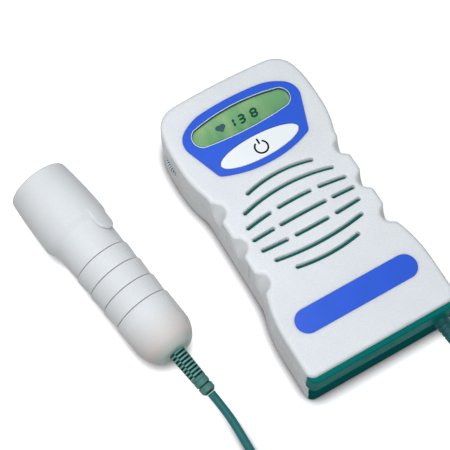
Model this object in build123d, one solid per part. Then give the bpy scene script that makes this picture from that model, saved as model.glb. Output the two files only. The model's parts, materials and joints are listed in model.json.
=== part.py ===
from build123d import *
import os
from math import asin, atan, atan2, cos, degrees, pi, radians, sin, sqrt, tan

# Handheld fetal doppler monitor: a display unit, its ultrasound probe and the cord between them.
# Millimetres. X runs across the unit, +Y towards its display end, +Z up from the table it lies on.
# The origin is the centre of the unit's rear face.

# ---------------------------------------------------------------- display unit: outer form
body_length = 167.5
body_height = 36.0
parting_z = 19.0  # the plane where the front and rear shells meet
display_half = 42.6  # half widths at the three stations along the body
waist_half = 38.5
foot_half = 43.4
display_y = 58.0
display_foot_y = 49.0
waist_top_y = 25.0
waist_foot_y = -28.0
foot_y = -56.0
display_swing = 0.78  # the first arc's share of each change of width
foot_swing = 0.15
crown_half = 28.0  # the display end's edge is a flat arc this wide each way
crown_drop = 0.95
shoulder_split = -74.0  # degrees, where the shoulder's tight arc meets its wide one
foot_corner_r = 4.5
front_edge_r = 2.5
rear_edge_r = 2.6
rear_draft = 1.6  # degrees
wall = 2.2
front_skin = 3.0
rear_skin = 2.2
waist_wall = 6.0  # the wall is thicker where the scoops are
end_wall = 2.0
parting_gap = 0.45
parting_groove = 0.8

# ---------------------------------------------------------------- finger scoops and side creases
scoop_y = -3.5  # the middle scoop
scoop_pitch = 22.1
scoop_r = 5.2
scoop_depth = 5.3  # how far the scoops cut into the waist on the front face
scoop_lean = 20.0  # degrees from upright
scoop_edge_r = 3.2
crease_depth = 0.7
crease_top_z = 34.0

# ---------------------------------------------------------------- display panel, window and button
panel_top_y = 72.3
panel_head = (19.0, 71.1)  # where the flat top edge ends
panel_shoulder = (30.3, 66.1)
panel_hip = (33.95, 54.4)  # where the slanting side ends
panel_corner_half = 26.9
panel_corner_y = 34.7
panel_foot_y = 29.0
panel_foot_bow = 1.3  # rise of the foot arc a quarter of the way along
panel_corner_r = 3.5
panel_head_bow = 0.3  # fall of the head arc a quarter of the way along
panel_t = 0.8
panel_gap = 0.1
window_half = 29.4
window_end_y = 59.0
window_top_y = 67.9
window_foot_y = 51.1
window_shoulder = (25.8, 64.7)
window_hip = (25.2, 52.9)
window_lens_t = 0.6
window_ledge_t = 0.6  # the rim under the lens, over the LCD
window_lens_lap = 1.4
button_y = 39.6
button_half_x = 23.3
button_half_y = 6.75
button_gap = 0.3
button_proud = 0.25
button_edge_r = 0.6
button_travel = 0.8
button_flange = 1.0
button_flange_t = 1.3
button_stem_r = 2.4
plunger_r = 1.7

# ---------------------------------------------------------------- speaker grille and label
grille_y = -3.5
grille_r = 30.5
grille_rows = (-25.85, -17.9, -8.95, 0.0, 8.95, 17.9, 25.85)  # each row's rise from the centre
grille_arch = 0.0019  # curvature of the middle row, per mm
grille_fan = 0.0005  # curvature gained per mm of rise
grille_t = 3.6  # the front face is thicker where the slots go through it
slot_width = 2.35
slot_edge_r = 0.7
slot_bridges = {2: (10.3, 13.8), 3: (14.1, 16.9), 4: (10.3, 13.8)}  # row: ends of its bridges
label_y = -54.5
label_length = 70.0
label_width = 13.3
label_t = 0.7
label_depth = 0.9
label_gap = 0.15

# ---------------------------------------------------------------- insides of the unit
board_z = 12.0
board_t = 1.6
board_inset = 3.2
board_waist_inset = 7.5
board_bay_gap = 0.65
boss_r = 3.2
boss_from_end = 7.15  # the upper pair's distance from the display end
boss_upper_x = 30.0
boss_from_bay = 4.95  # the lower pair's distance from the battery bay
boss_lower_x = 33.0
pilot_r = 1.1
screw_clear_r = 1.5
screw_head_r = 2.5
screw_head_t = 1.7
screw_recess_r = 2.9
screw_recess = 2.6
screw_pocket_t = 1.6
screw_shank_r = 1.05
screw_bite = 8.0
screw_slot = (3.0, 0.6, 0.8)

lcd_size = (64.0, 19.4, 2.4)
lcd_y = 59.9
lcd_gap = 0.3
frame_wall = 1.2
lcd_top_gap = 0.1  # under the window's ledge
frame_shelf = 1.5
frame_drop = 0.3  # below the ceiling
frame_depth = 9.8
frame_leg = (4.0, 20.0)  # width, and distance from the middle

switch_size = (7.0, 7.0, 6.0)
switch_bore_gap = 0.3
switch_floor = 1.6
plunger_spare = 0.5  # left under the plunger's tip when the button is pressed home
shoulder_spare = 0.6  # left between the wide stem and the switch then
processor_size = (12.0, 12.0, 1.6)
processor_at = (22.0, 38.0)
amplifier_size = (8.0, 5.0, 1.75)
amplifier_at = (-20.0, 36.0)

cloth_r = 31.0
cloth_t = 0.5
ring_inner_r = 31.3
ring_outer_r = 32.7
ring_depth = 5.0
speaker_r = 30.6
speaker_flange_t = 1.5
cone_seat_r = 28.5
cone_rim_t = 0.5
surround_r = 27.0
basket_r = 13.5
basket_depth = 9.0
basket_t = 0.9
voice_r = 7.5
voice_t = 0.6
voice_z = 23.3
dust_cap_z = 26.1
magnet_r = 12.0
magnet_t = 5.0

wheel_y = 59.7
wheel_z = 17.4
wheel_r = 10.0
wheel_t = 3.2
wheel_proud = 1.2
wheel_gap = 0.4
wheel_ribs = 43
rib_r = 0.5
wheel_dish = (3.5, 8.0, 0.7)  # inner radius, outer radius and depth of the dished faces
spindle_r = 1.5
spindle_gap = 0.05
pot_size = (11.0, 11.0, 3.3)

jack_y = 60.0
jack_axis_z = 3.0  # above the board
jack_bore_r = 1.8
jack_nose_half = 3.0
jack_nose_gap = 0.15
jack_nose_sunk = 0.3
jack_size = (12.0, 7.0, 5.8)
jack_bore_depth = 13.0

# ---------------------------------------------------------------- battery bay, cells and door
cell_r = 7.25
cell_length = 49.2
cell_edge_r = 0.8
cell_nub_r = 2.6
cell_nub = 1.3
cell_pitch = 15.4
cell_gap = 0.3
bay_from_end = 20.45  # the bay's middle from the foot end
bay_half = 28.85
bay_wall = 1.6
bay_side_wall = 2.4
bay_roof = 1.2
bay_roof_z = 17.5
contact_t = 0.5
contact_half = 5.5
contact_z = (3.6, 15.8)
spring_r = 3.2
spring_wire_r = 0.35
spring_turns = 5
door_t = 1.8
door_gap = 0.3
door_half = 29.2
door_bay_lap = 0.75  # how far the door stops short of the bay's far wall
door_tongue = 1.2
door_tongue_t = 0.7
door_ledge_t = 0.8
door_lip_z = 10.2
cap_t = 2.9
cap_top_drop = 2.7  # the front cap stays this far below the front face
cap_edge_r = 1.2
cap_wrap = 2.5  # how far the front cap reaches back round the corners
cap_line = 0.35
cap_groove = (1.1, 0.9)  # height and depth of the groove along each cap's lower edge
grip_grooves = 5
grip_pitch = 2.6
grip_size = (24.0, 1.1, 0.5)
grip_from_end = 7.75

# ---------------------------------------------------------------- cord and its strain reliefs
cord_r = 2.25
cord_exit_x = 34.0
cord_exit_z = 18.0
boot_r = 4.4
boot_tip_r = 3.1
boot_length = 12.0
boot_neck_r = 3.1
boot_collar_r = 3.9
boot_collar_t = 1.4
boot_gap = 0.1
boot_rings = 3
boot_ring_pitch = 2.6
boot_ring = (0.9, 0.55)  # width and depth
collar_room = 0.3
coil_centre = (-55.0, -154.0)
coil_mid_r = 25.0
coil_turns_wide = 3  # turns side by side in the bottom layer
coil_height = 8.4
coil_edge_r = 2.0
first_run = 13.2  # straight out of the probe's strain relief
probe_lead_points = [
    (-81.6, -82.0, 4.3),
    (-81.4, -97.0, 2.5),
    (-83.6, -113.0, 2.3),
    (-85.4, -131.0, 2.3),
    (-84.5, -148.5, 2.3),
]
unit_lead_points = [
    (-45.68, -179.61, 6.15),
    (-33.0, -175.0, 6.9),
    (-19.5, -171.5, 4.6),
    (-4.5, -169.3, 2.6),
    (12.0, -168.4, 2.3),
    (28.3, -167.6, 2.3),
    (39.2, -161.1, 2.3),
    (45.5, -150.1, 2.3),
    (45.8, -137.4, 4.3),
    (41.2, -126.0, 9.4),
    (36.4, -115.5, 15.0),
    (34.0, -105.0, 18.0),
]

# ---------------------------------------------------------------- probe
probe_x = -98.75
probe_y = 26.4
probe_turn = 9.06  # degrees about Z
head_face_y = 59.7
head_face_inset = 1.85
head_mid_y = 42.0
head_mid_inset = 0.45
head_wide_y = 28.0
head_r = 18.75
head_foot_y = 21.0
head_foot_inset = 2.6
head_shoulder = ((0.25, 26.2), (1.15, 24.5), (2.15, 22.8))  # inset from head_r, and place along the axis
head_edge_r = 1.2
grip_step = 0.7  # the far side of each ring lies this much lower
grip_ring_y = 4.15
grip_ring_pitch = 11.1
grip_rings = 4
grip_ring = (0.5, 0.35, 0.5)  # groove depth, its reach towards the head and towards the tail
tail_y = -44.5
tail_inset = 0.25
tail_turn = 50.0  # degrees of the tail's round, before it eases into the flat end
tail_end_r = 7.7  # of the flat end
tail_end_drop = 13.1  # from tail_y to the flat end
probe_wall = 1.8
neck_inset = 1.55  # the neck fits inside the head's foot
neck_gap = 0.1
neck_length = 9.0
head_wall = 1.9
clip_angle = 43.0  # degrees above the horizontal, on the side towards the unit
clip_tip_y = 12.9
clip_half = 5.6
clip_t = 1.85
clip_tip_inset = 0.65
clip_root_x = 10.0
seam_width = 0.3
seam_depth = 0.35
membrane_t = 1.4
membrane_sink = 0.3
crystal_r = 11.0
crystal_t = 1.5
crystal_gap = 1.0
backing_gap = 1.4
backing_t = 7.0
preamp_size = (20.0, 46.0, 1.6)
preamp_y = 3.0
preamp_ribs = (-12.0, 16.0)
preamp_rib_t = 1.5
preamp_rib_half = 8.0
preamp_rib_lap = 0.3
relief_r = 4.4
relief_tip_r = 3.9
relief_length = 26.2
relief_droop = 9.0  # degrees below the probe's own axis
relief_swing = 2.0  # degrees towards the unit
relief_slots = 8
relief_slot_pitch = 2.055
relief_first_slot = 0.57
relief_slot = 0.95
relief_spine = 1.1  # width of the four ribs that run along the sleeve
relief_turn = 14.0  # degrees, from straight up to the middle of the upper slots
relief_core_r = 2.6
relief_bands = ((17.4, 0.7, 0.3), (20.8, 0.9, 0.6))  # place, width and depth of the grooves near the tip
relief_bevel = 1.4  # round the tip's end
relief_root_r = 3.9
relief_collar_r = 5.6
relief_collar_t = 1.5
relief_sunk = 1.5  # how far the drooping part starts inside the tail
cord_gap = 0.3  # between the probe's strain relief and the cord

# ---------------------------------------------------------------- derived places
beyond = 2 * body_length  # past every piece, for cutting blocks
display_end_y = body_length / 2
foot_end_y = -body_length / 2
cap_y = foot_end_y + cap_t
scoop_reach = waist_half - scoop_depth
bay_y = foot_end_y + bay_from_end
bay_span = cell_pitch / 2 + cell_r + cell_gap
bay_top = bay_y + bay_span + bay_wall
door_inner_y = bay_top - door_bay_lap
board_foot_y = bay_top + board_bay_gap
upper_bosses = [(x, display_end_y - boss_from_end) for x in (-boss_upper_x, boss_upper_x)]
lower_bosses = [(x, bay_top + boss_from_bay) for x in (-boss_lower_x, boss_lower_x)]
boss_places = upper_bosses + lower_bosses
ceiling_z = body_height - front_skin
panel_floor_z = body_height - panel_t
lens_floor_z = panel_floor_z - window_lens_t
board_top_z = board_z + board_t
ledge_z = lens_floor_z - window_ledge_t
lcd_floor_z = ledge_z - lcd_top_gap - lcd_size[2]
frame_top_z = ceiling_z - frame_drop
frame_foot_z = frame_top_z - frame_depth
flange_z = ceiling_z - button_gap - button_flange_t
switch_top_z = board_top_z + switch_size[2]
grille_floor_z = body_height - grille_t
cloth_z = grille_floor_z - cloth_t
flange_foot_z = cloth_z - speaker_flange_t
basket_foot_z = flange_foot_z - basket_depth
wheel_x = -(display_half + wheel_proud - wheel_r)
jack_z = board_top_z + jack_axis_z
jack_face_x = display_half - jack_nose_sunk
jack_body_x = display_half - wall - lcd_gap
scoop_rows = [scoop_y + i * scoop_pitch for i in (-1, 0, 1)]
crease_rows = [scoop_y + (i + 0.5) * scoop_pitch for i in (-1, 0)]
head_face_r = head_r - head_face_inset
head_mid_r = head_r - head_mid_inset
head_bore_r = head_face_r - head_wall
grip_r = head_r - head_foot_inset
grip_low_r = grip_r - grip_step
tail_r = grip_r - tail_inset
neck_r = grip_r - neck_inset
backing_r = head_bore_r - backing_gap
clip_inner_r = head_r - clip_t
clip_tip_r = head_r - clip_tip_inset
tail_end_y = tail_y - tail_end_drop
tail_inside_y = tail_end_y + probe_wall
both_sides = (-1, 1)

parts = {}


# ================================================================ small helpers
def block(x0, x1, y0, y1, z0, z1):
    """A box between two corners."""
    return Pos((x0 + x1) / 2, (y0 + y1) / 2, (z0 + z1) / 2) * Box(x1 - x0, y1 - y0, z1 - z0)


def slab(half_x, half_y, z0, z1, x=0.0, y=0.0):
    """A box centred on x and y, between two heights."""
    return block(x - half_x, x + half_x, y - half_y, y + half_y, z0, z1)


def post(radius, x, y, z0, z1):
    """An upright cylinder between two heights."""
    return Pos(x, y, (z0 + z1) / 2) * Cylinder(radius, z1 - z0)


def rod(radius, x, z, y0, y1):
    """A cylinder along Y."""
    return Pos(x, (y0 + y1) / 2, z) * Rot(90, 0, 0) * Cylinder(radius, y1 - y0)


def pin(radius, y, z, x0, x1):
    """A cylinder along X."""
    return Pos((x0 + x1) / 2, y, z) * Rot(0, 90, 0) * Cylinder(radius, x1 - x0)


def raised(plan, z0, z1):
    """A plan shape made solid between two heights."""
    return extrude(Pos(0, 0, z0) * plan, z1 - z0)


def spun(points, axis=Axis.Z):
    """A closed outline of (radius, height) points turned about an axis."""
    plane = Plane.XZ if axis == Axis.Z else Plane.XY
    return revolve(plane * make_face(Polyline(*points, close=True)), axis)


# ================================================================ display unit: shells
def swing(start, end, share):
    """Two tangent arcs from start to end, both ends running straight down the body in plan.

    share is the first arc's part of the two radii.
    """
    dx, dy = end[0] - start[0], start[1] - end[1]
    half = atan(abs(dx) / dy)
    turn = degrees(2 * half) * (1 if dx > 0 else -1)
    first = JernArc(start, (0, -1), share * dy / sin(2 * half), turn)
    return first, TangentArc(first @ 1, end, tangent=first % 1)


def shoulder(start, heading, end, split):
    """Two tangent arcs that turn from heading, at start, to straight down, at end. Angles in degrees."""
    h, s = radians(heading), radians(split)
    v1 = (sin(h) - sin(s), cos(s) - cos(h))
    v2 = (sin(s) + 1, -cos(s))
    dx, dy = end[0] - start[0], end[1] - start[1]
    r1 = (dx * v2[1] - dy * v2[0]) / (v1[0] * v2[1] - v1[1] * v2[0])
    first = JernArc(start, (cos(h), sin(h)), r1, split - heading)
    return first, TangentArc(first @ 1, end, tangent=first % 1)


def body_outline(side=0.0, waist=0.0, top=0.0, foot=0.0):
    """The body in plan, drawn in by the given amounts at its sides, waist and ends."""
    d, w, f = display_half - side, waist_half - waist, foot_half - side
    t, b = display_end_y - top, foot_end_y + foot
    r = max(foot_corner_r - side, 0.6)
    crown_r = (crown_half**2 + crown_drop**2) / (2 * crown_drop)
    heading = -degrees(atan2(crown_half, crown_r - crown_drop))
    with BuildSketch() as plan:
        with BuildLine():
            half = radians(-heading / 2)
            crown_end = (crown_half, t - crown_drop)
            ThreePointArc((0, t), (crown_r * sin(half), t - crown_r * (1 - cos(half))), crown_end)
            shoulder(crown_end, heading, (d, display_y), shoulder_split)
            Line((d, display_y), (d, display_foot_y))
            swing((d, display_foot_y), (w, waist_top_y), display_swing)
            Line((w, waist_top_y), (w, waist_foot_y))
            swing((w, waist_foot_y), (f, foot_y), foot_swing)
            Line((f, foot_y), (f, b + r))
            JernArc((f, b + r), (0, -1), r, -90)
            Line((f - r, b), (0, b))
            mirror(about=Plane.YZ)
        make_face()
    return plan.sketch


def scoop_cutter(side, y):
    """A round cutter that leans outwards as it goes down, for one finger scoop."""
    lean = radians(scoop_lean)
    axis_x = side * (scoop_reach + scoop_r / cos(lean))
    turned = Rot(0, -side * scoop_lean, 0) * Rot(0, 0, 90 - 90 * side)
    return Pos(axis_x, y, body_height) * turned * Cylinder(scoop_r, 2 * body_height)


def crease_cutter(side, y):
    """A narrow V cut down the side wall, midway between two scoops."""
    height = crease_top_z + 1.0
    bar = Box(crease_depth * sqrt(2), crease_depth * sqrt(2), height)
    return Pos(side * waist_half, y, crease_top_z - height / 2) * Rot(0, 0, 45) * bar


def front_form():
    """The front shell's outer form, with its scoops and soft edges, short of the coloured end."""
    form = raised(body_outline(foot=cap_t), parting_z, body_height)
    for side in both_sides:
        for y in scoop_rows:
            form -= scoop_cutter(side, y)
    on_wall = [e for e in form.edges() if abs(abs(e.center().X) - waist_half) < 0.01]
    lips = [e for e in on_wall if e.geom_type == GeomType.ELLIPSE and e.center().Z > parting_z + 0.5]
    form = fillet(lips, scoop_edge_r)
    form = fillet(form.faces().sort_by(Axis.Z)[-1].outer_wire().edges(), front_edge_r)
    for side in both_sides:
        for y in crease_rows:
            form -= crease_cutter(side, y)
    return form


def rear_form():
    """The rear shell's outer form: a little draft, and a rounded rear edge."""
    form = extrude(Pos(0, 0, parting_z) * body_outline(), parting_z, dir=(0, 0, -1), taper=rear_draft)
    form = fillet(form.faces().sort_by(Axis.Z)[0].edges(), rear_edge_r)
    for side in both_sides:
        for y in crease_rows:
            form -= crease_cutter(side, y)
    return form


def cavity(z0, z1):
    """The hollow inside the two shells."""
    return raised(body_outline(side=wall, waist=waist_wall, top=wall, foot=cap_t + end_wall), z0, z1)


def panel_outline():
    """The display panel in plan: bowed foot, slanting sides and a rounded head."""
    foot = (panel_corner_half, panel_corner_y)
    with BuildSketch() as plan:
        with BuildLine():
            ThreePointArc((0, panel_foot_y), (foot[0] / 2, panel_foot_y + panel_foot_bow), foot)
            slant = Line(foot, panel_hip)
            side = TangentArc(panel_hip, panel_shoulder, tangent=slant % 1)
            top = TangentArc(panel_shoulder, panel_head, tangent=side % 1)
            ThreePointArc(top @ 1, (panel_head[0] / 2, panel_top_y - panel_head_bow), (0, panel_top_y))
            mirror(about=Plane.YZ)
        make_face()
        fillet(plan.vertices().group_by(Axis.Y)[1], panel_corner_r)
    return plan.sketch


def window_outline():
    """The oval display window in plan."""
    mirrored = [(-window_shoulder[0], window_shoulder[1]), (-window_hip[0], window_hip[1])]
    with BuildSketch() as plan:
        with BuildLine():
            ThreePointArc(mirrored[0], (0, window_top_y), window_shoulder)
            ThreePointArc(window_shoulder, (window_half, window_end_y), window_hip)
            ThreePointArc(window_hip, (0, window_foot_y), mirrored[1])
            ThreePointArc(mirrored[1], (-window_half, window_end_y), mirrored[0])
        make_face()
    return plan.sketch


def button_outline(grow):
    """The button's ellipse in plan, grown by some amount."""
    return Pos(0, button_y) * Ellipse(button_half_x + grow, button_half_y + grow)


def grille_bend(rise):
    """The curvature of the row that lies this far from the grille's centre."""
    return grille_arch + rise * grille_fan


def grille_slot(rise, x0, x1):
    """One slot of the grille, along its row's arc from x0 to x1."""
    bend = grille_bend(rise)
    places = [(x, grille_y + rise - bend * x**2 / 2) for x in (x0, (x0 + x1) / 2, x1)]
    return SlotArc(ThreePointArc(*places), slot_width)


def grille_plan():
    """All the slots of the speaker grille."""
    slots = Sketch()
    inner = slot_width / 2
    for row, rise in enumerate(grille_rows):
        end = sqrt(grille_r**2 - rise**2)
        for _ in range(20):
            end = sqrt(grille_r**2 - (rise - grille_bend(rise) * end**2 / 2) ** 2)
        end -= inner
        if row in slot_bridges:
            near, far = slot_bridges[row]
            slots += grille_slot(rise, -near + inner, near - inner)
            slots += grille_slot(rise, far + inner, end)
            slots += grille_slot(rise, -end, -far - inner)
        else:
            slots += grille_slot(rise, -end, end)
    return slots


def label_plan(gap):
    """The name label's stadium in plan."""
    return Pos(0, label_y) * SlotOverall(label_length + 2 * gap, label_width + 2 * gap)


def side_openings():
    """What the thumbwheel, the headphone socket and the cord need cut from the walls."""
    slot_z = wheel_z - wheel_gap
    cut = post(wheel_r + wheel_gap, wheel_x, wheel_y, slot_z, slot_z + wheel_t + 2 * wheel_gap)
    reach = jack_nose_half + jack_nose_gap
    nose_room = (jack_y - reach, jack_y + reach, jack_z - reach, jack_z + reach)
    cut += block(jack_body_x, display_half + 1, *nose_room)
    cut += rod(boot_neck_r + boot_gap, cord_exit_x, cord_exit_z, foot_end_y - 1, cap_y + end_wall + 0.1)
    return cut


def make_front_shell():
    shell = front_form() - cavity(parting_z - 1, ceiling_z)
    ring = post(ring_outer_r, 0, grille_y, grille_floor_z - ring_depth, ceiling_z)
    shell += ring - post(ring_inner_r, 0, grille_y, 0, grille_floor_z)
    for x, y in boss_places:
        shell += post(boss_r, x, y, board_top_z, ceiling_z)
    shell -= raised(panel_outline(), panel_floor_z, body_height + 1)
    shell -= raised(offset(window_outline(), window_lens_lap + panel_gap), lens_floor_z, body_height)
    shell -= raised(window_outline(), ceiling_z - 1, body_height)
    shell -= slab(lcd_size[0] / 2 + lcd_gap, lcd_size[1] / 2 + lcd_gap, ceiling_z - 1, ledge_z, y=lcd_y)
    shell -= raised(button_outline(button_gap), ceiling_z - 1, body_height)
    shell -= raised(label_plan(label_gap), body_height - label_depth, body_height + 1)
    shell -= raised(grille_plan(), grille_floor_z - 1, body_height + 1)
    near = [e for e in shell.edges() if abs(e.center().Z - body_height) < 0.01]
    mouths = [e for e in near if Vector(e.center().X, e.center().Y - grille_y).length < grille_r]
    shell = fillet(mouths, slot_edge_r)
    for x, y in boss_places:
        shell -= post(pilot_r, x, y, board_top_z - 1, board_top_z + screw_bite + 1)
    return shell - side_openings()


def make_rear_shell():
    shell = rear_whole - cavity(rear_skin, parting_z + 1)
    shell -= block(-body_length, body_length, foot_end_y - 1, cap_y, -1, body_height)
    bay_outer = bay_half + bay_side_wall
    shell += block(-bay_outer, bay_outer, cap_y + 0.5, bay_top, 1.0, bay_roof_z + bay_roof)
    for x, y in boss_places:
        shell += post(boss_r, x, y, rear_skin / 2, board_z)
        shell += post(screw_recess_r + screw_pocket_t, x, y, rear_skin / 2, screw_recess + screw_pocket_t)
    for x, y in boss_places:
        shell -= post(screw_recess_r, x, y, -1, screw_recess)
        shell -= post(screw_clear_r, x, y, -1, board_z + 1)
    door_top = door_t + door_gap
    groove = door_half + door_tongue + door_gap
    shell -= block(-bay_half, bay_half, bay_y - bay_span, bay_y + bay_span, -1, bay_roof_z)
    door_room = door_half + door_gap
    shell -= block(-door_room, door_room, foot_end_y, door_inner_y + door_gap, -1, door_top)
    shell -= block(-groove, groove, foot_end_y, door_inner_y + door_gap, door_ledge_t, door_top)
    rim = raised(body_outline(*[parting_groove] * 4), 0, body_height)
    shell -= slab(beyond, beyond, parting_z - parting_gap, parting_z) - rim
    collar_end = cap_y + end_wall + boot_gap + boot_collar_t + collar_room
    shell -= rod(boot_collar_r + collar_room, cord_exit_x, cord_exit_z, cap_y + end_wall, collar_end)
    return shell - side_openings()


def cap_line_cutter(z):
    """What a cap loses for the groove along its lower edge, at height z."""
    height, depth = cap_groove
    return slab(beyond, beyond, z - 1, z + height) - raised(body_outline(*[depth] * 4), 0, body_height)


def make_front_cap():
    """The coloured end above the parting plane, reaching back round both corners."""
    cap = raised(body_outline(), parting_z, body_height - cap_top_drop)
    cap = fillet(cap.faces().sort_by(Axis.Z)[-1].edges(), cap_edge_r)
    cap &= block(-beyond, beyond, -beyond, cap_y + cap_wrap, 0, body_height)
    cap -= raised(body_outline(foot=cap_t), 0, body_height)
    return cap - cap_line_cutter(parting_z) - side_openings()


def make_rear_cap():
    """The coloured end between the battery door's lip and the parting plane."""
    foot_z = door_lip_z + door_gap
    cap = rear_whole & block(-beyond, beyond, -beyond, cap_y, foot_z, parting_z - cap_line)
    return cap - cap_line_cutter(foot_z) - side_openings()


def make_door():
    """The battery door: plate, side tongues and the lip over the foot end."""
    lip_y = cap_y - door_gap
    door = rear_whole & block(-body_length, body_length, foot_end_y - 1, lip_y, -1, door_lip_z)
    door += rear_whole & block(-door_half, door_half, lip_y - 0.5, door_inner_y, -1, door_t)
    reach = door_half + door_tongue
    door += block(-reach, reach, cap_y + door_gap, door_inner_y, door_t - door_tongue_t, door_t)
    width, across, depth = grip_size
    for i in range(grip_grooves):
        y = foot_end_y + grip_from_end + i * grip_pitch
        door -= block(-width / 2, width / 2, y, y + across, -1, depth)
    return door


rear_whole = rear_form()
parts["front_shell"] = make_front_shell()
parts["rear_shell"] = make_rear_shell()
parts["front_end_cap"] = make_front_cap()
parts["rear_end_cap"] = make_rear_cap()
parts["battery_door"] = make_door()


# ================================================================ display, button and label
def make_display_panel():
    """The coloured overlay plate round the window and the button."""
    plan = offset(panel_outline(), -panel_gap) - window_outline() - button_outline(button_gap)
    return raised(plan, panel_floor_z, body_height)


def make_lcd_frame():
    """The holder under the LCD glass: walls round its edge, a shelf and four legs."""
    half_x = lcd_size[0] / 2 + lcd_gap
    half_y = lcd_size[1] / 2 + lcd_gap
    frame = slab(half_x + frame_wall, half_y + frame_wall, frame_foot_z, frame_top_z, y=lcd_y)
    frame -= slab(half_x, half_y, lcd_floor_z, body_height, y=lcd_y)
    frame -= slab(half_x - frame_shelf, half_y - frame_shelf, 0, body_height, y=lcd_y)
    width, reach = frame_leg
    for x in (-reach, reach):
        for side in both_sides:
            y = lcd_y + side * (half_y + frame_wall / 2)
            frame += slab(width / 2, frame_wall / 2, board_top_z, frame_foot_z, x, y)
    return frame


def make_power_button():
    """The oval button: crowned cap, retaining flange, stem and plunger."""
    cap = raised(button_outline(0), flange_z, body_height + button_proud)
    cap = fillet(cap.faces().sort_by(Axis.Z)[-1].edges(), button_edge_r)
    button = cap + raised(button_outline(button_gap + button_flange), flange_z, flange_z + button_flange_t)
    shoulder_z = switch_top_z + shoulder_spare + button_travel
    tip_z = board_top_z + switch_floor + plunger_spare + button_travel
    button += post(button_stem_r, 0, button_y, shoulder_z, flange_z)
    return button + post(plunger_r, 0, button_y, tip_z, shoulder_z)


def make_power_switch():
    """The switch body on the board, with the bore that takes the button's plunger."""
    length, width, height = switch_size
    body = slab(length / 2, width / 2, board_top_z, switch_top_z, y=button_y)
    bore_r = plunger_r + switch_bore_gap
    return body - post(bore_r, 0, button_y, board_top_z + switch_floor, switch_top_z + 1)


def on_board(size, place):
    """A component's body standing on the board."""
    return slab(size[0] / 2, size[1] / 2, board_top_z, board_top_z + size[2], *place)


def make_board():
    plan = body_outline(side=board_inset, waist=board_waist_inset, top=board_inset)
    board = raised(plan, board_z, board_top_z)
    board -= block(-body_length, body_length, foot_end_y, board_foot_y, 0, body_height)
    for x, y in boss_places:
        board -= post(screw_clear_r, x, y, 0, body_height)
    return board


parts["display_panel"] = make_display_panel()
parts["display_window"] = raised(offset(window_outline(), window_lens_lap), lens_floor_z, panel_floor_z)
parts["lcd_glass"] = slab(lcd_size[0] / 2, lcd_size[1] / 2, lcd_floor_z, lcd_floor_z + lcd_size[2], y=lcd_y)
parts["lcd_frame"] = make_lcd_frame()
parts["power_button"] = make_power_button()
parts["power_switch"] = make_power_switch()
parts["main_board"] = make_board()
parts["main_processor"] = on_board(processor_size, processor_at)
parts["audio_amplifier"] = on_board(amplifier_size, amplifier_at)
parts["name_plate"] = raised(label_plan(0), body_height - label_depth, body_height - label_depth + label_t)


# ================================================================ loudspeaker
def make_speaker_frame():
    """The loudspeaker's flange, conical basket and rear plate."""
    seat_z = cloth_z - cone_rim_t
    plate_z = basket_foot_z + basket_t
    outline = [(speaker_r, cloth_z), (cone_seat_r, cloth_z), (cone_seat_r, seat_z), (surround_r, seat_z)]
    outline += [(basket_r - basket_t, plate_z), (voice_r + 0.4, plate_z), (voice_r + 0.4, basket_foot_z)]
    outline += [(basket_r, basket_foot_z), (surround_r + 1.2, flange_foot_z), (speaker_r, flange_foot_z)]
    return Pos(0, grille_y) * spun(outline)


def make_speaker_cone():
    """The loudspeaker's rim, cone, dust cap and voice coil former."""
    seat_z = cloth_z - cone_rim_t
    rim_r = cone_seat_r - 0.1
    inner = voice_r - voice_t
    outline = [(rim_r, cloth_z), (rim_r, seat_z), (surround_r - 0.9, seat_z), (voice_r, dust_cap_z - 0.4)]
    outline += [(voice_r, voice_z), (inner, voice_z), (inner, dust_cap_z), (0, dust_cap_z)]
    outline += [(0, dust_cap_z + voice_t), (voice_r, dust_cap_z + voice_t), (surround_r - 1.1, cloth_z)]
    return Pos(0, grille_y) * spun(outline)


parts["speaker_frame"] = make_speaker_frame()
parts["speaker_cone"] = make_speaker_cone()
magnet = post(magnet_r, 0, grille_y, basket_foot_z - magnet_t, basket_foot_z)
voice_gap = post(voice_r + 0.4, 0, grille_y, basket_foot_z - magnet_t / 2, body_height)
parts["speaker_magnet"] = magnet - voice_gap
parts["speaker_cloth"] = post(cloth_r, 0, grille_y, cloth_z, grille_floor_z)


# ================================================================ thumbwheel, socket and screws
def make_wheel():
    """The volume thumbwheel: ribbed rim, dished faces and a bore for its spindle."""
    top = wheel_z + wheel_t
    wheel = post(wheel_r, wheel_x, wheel_y, wheel_z, top)
    wheel -= post(spindle_r + spindle_gap, wheel_x, wheel_y, 0, body_height)
    near, far, depth = wheel_dish
    for z0, z1 in ((wheel_z - 1, wheel_z + depth), (top - depth, top + 1)):
        wheel -= post(far, wheel_x, wheel_y, z0, z1) - post(near, wheel_x, wheel_y, z0, z1)
    for i in range(wheel_ribs):
        angle = 2 * pi * i / wheel_ribs
        x, y = wheel_x + wheel_r * cos(angle), wheel_y + wheel_r * sin(angle)
        wheel -= post(rib_r, x, y, wheel_z - 1, top + 1)
    return wheel


def make_jack():
    """The headphone socket: a body on the board and a square nose through the wall."""
    length, width, height = jack_size
    top = board_top_z + height
    body = slab(length / 2, width / 2, board_top_z, top, jack_body_x - length / 2, jack_y)
    half = jack_nose_half
    body += block(jack_body_x - 1, jack_face_x, jack_y - half, jack_y + half, jack_z - half, jack_z + half)
    return body - pin(jack_bore_r, jack_y, jack_z, jack_face_x - jack_bore_depth, jack_face_x + 1)


def make_screw(x, y):
    """A case screw from the rear recess into a front boss."""
    screw = post(screw_head_r, x, y, screw_recess - screw_head_t, screw_recess)
    screw += post(screw_shank_r, x, y, screw_recess, board_top_z + screw_bite)
    length, width, depth = screw_slot
    z = screw_recess - screw_head_t
    for dx, dy in ((length, width), (width, length)):
        screw -= block(x - dx / 2, x + dx / 2, y - dy / 2, y + dy / 2, z - 1, z + depth)
    return screw


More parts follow.
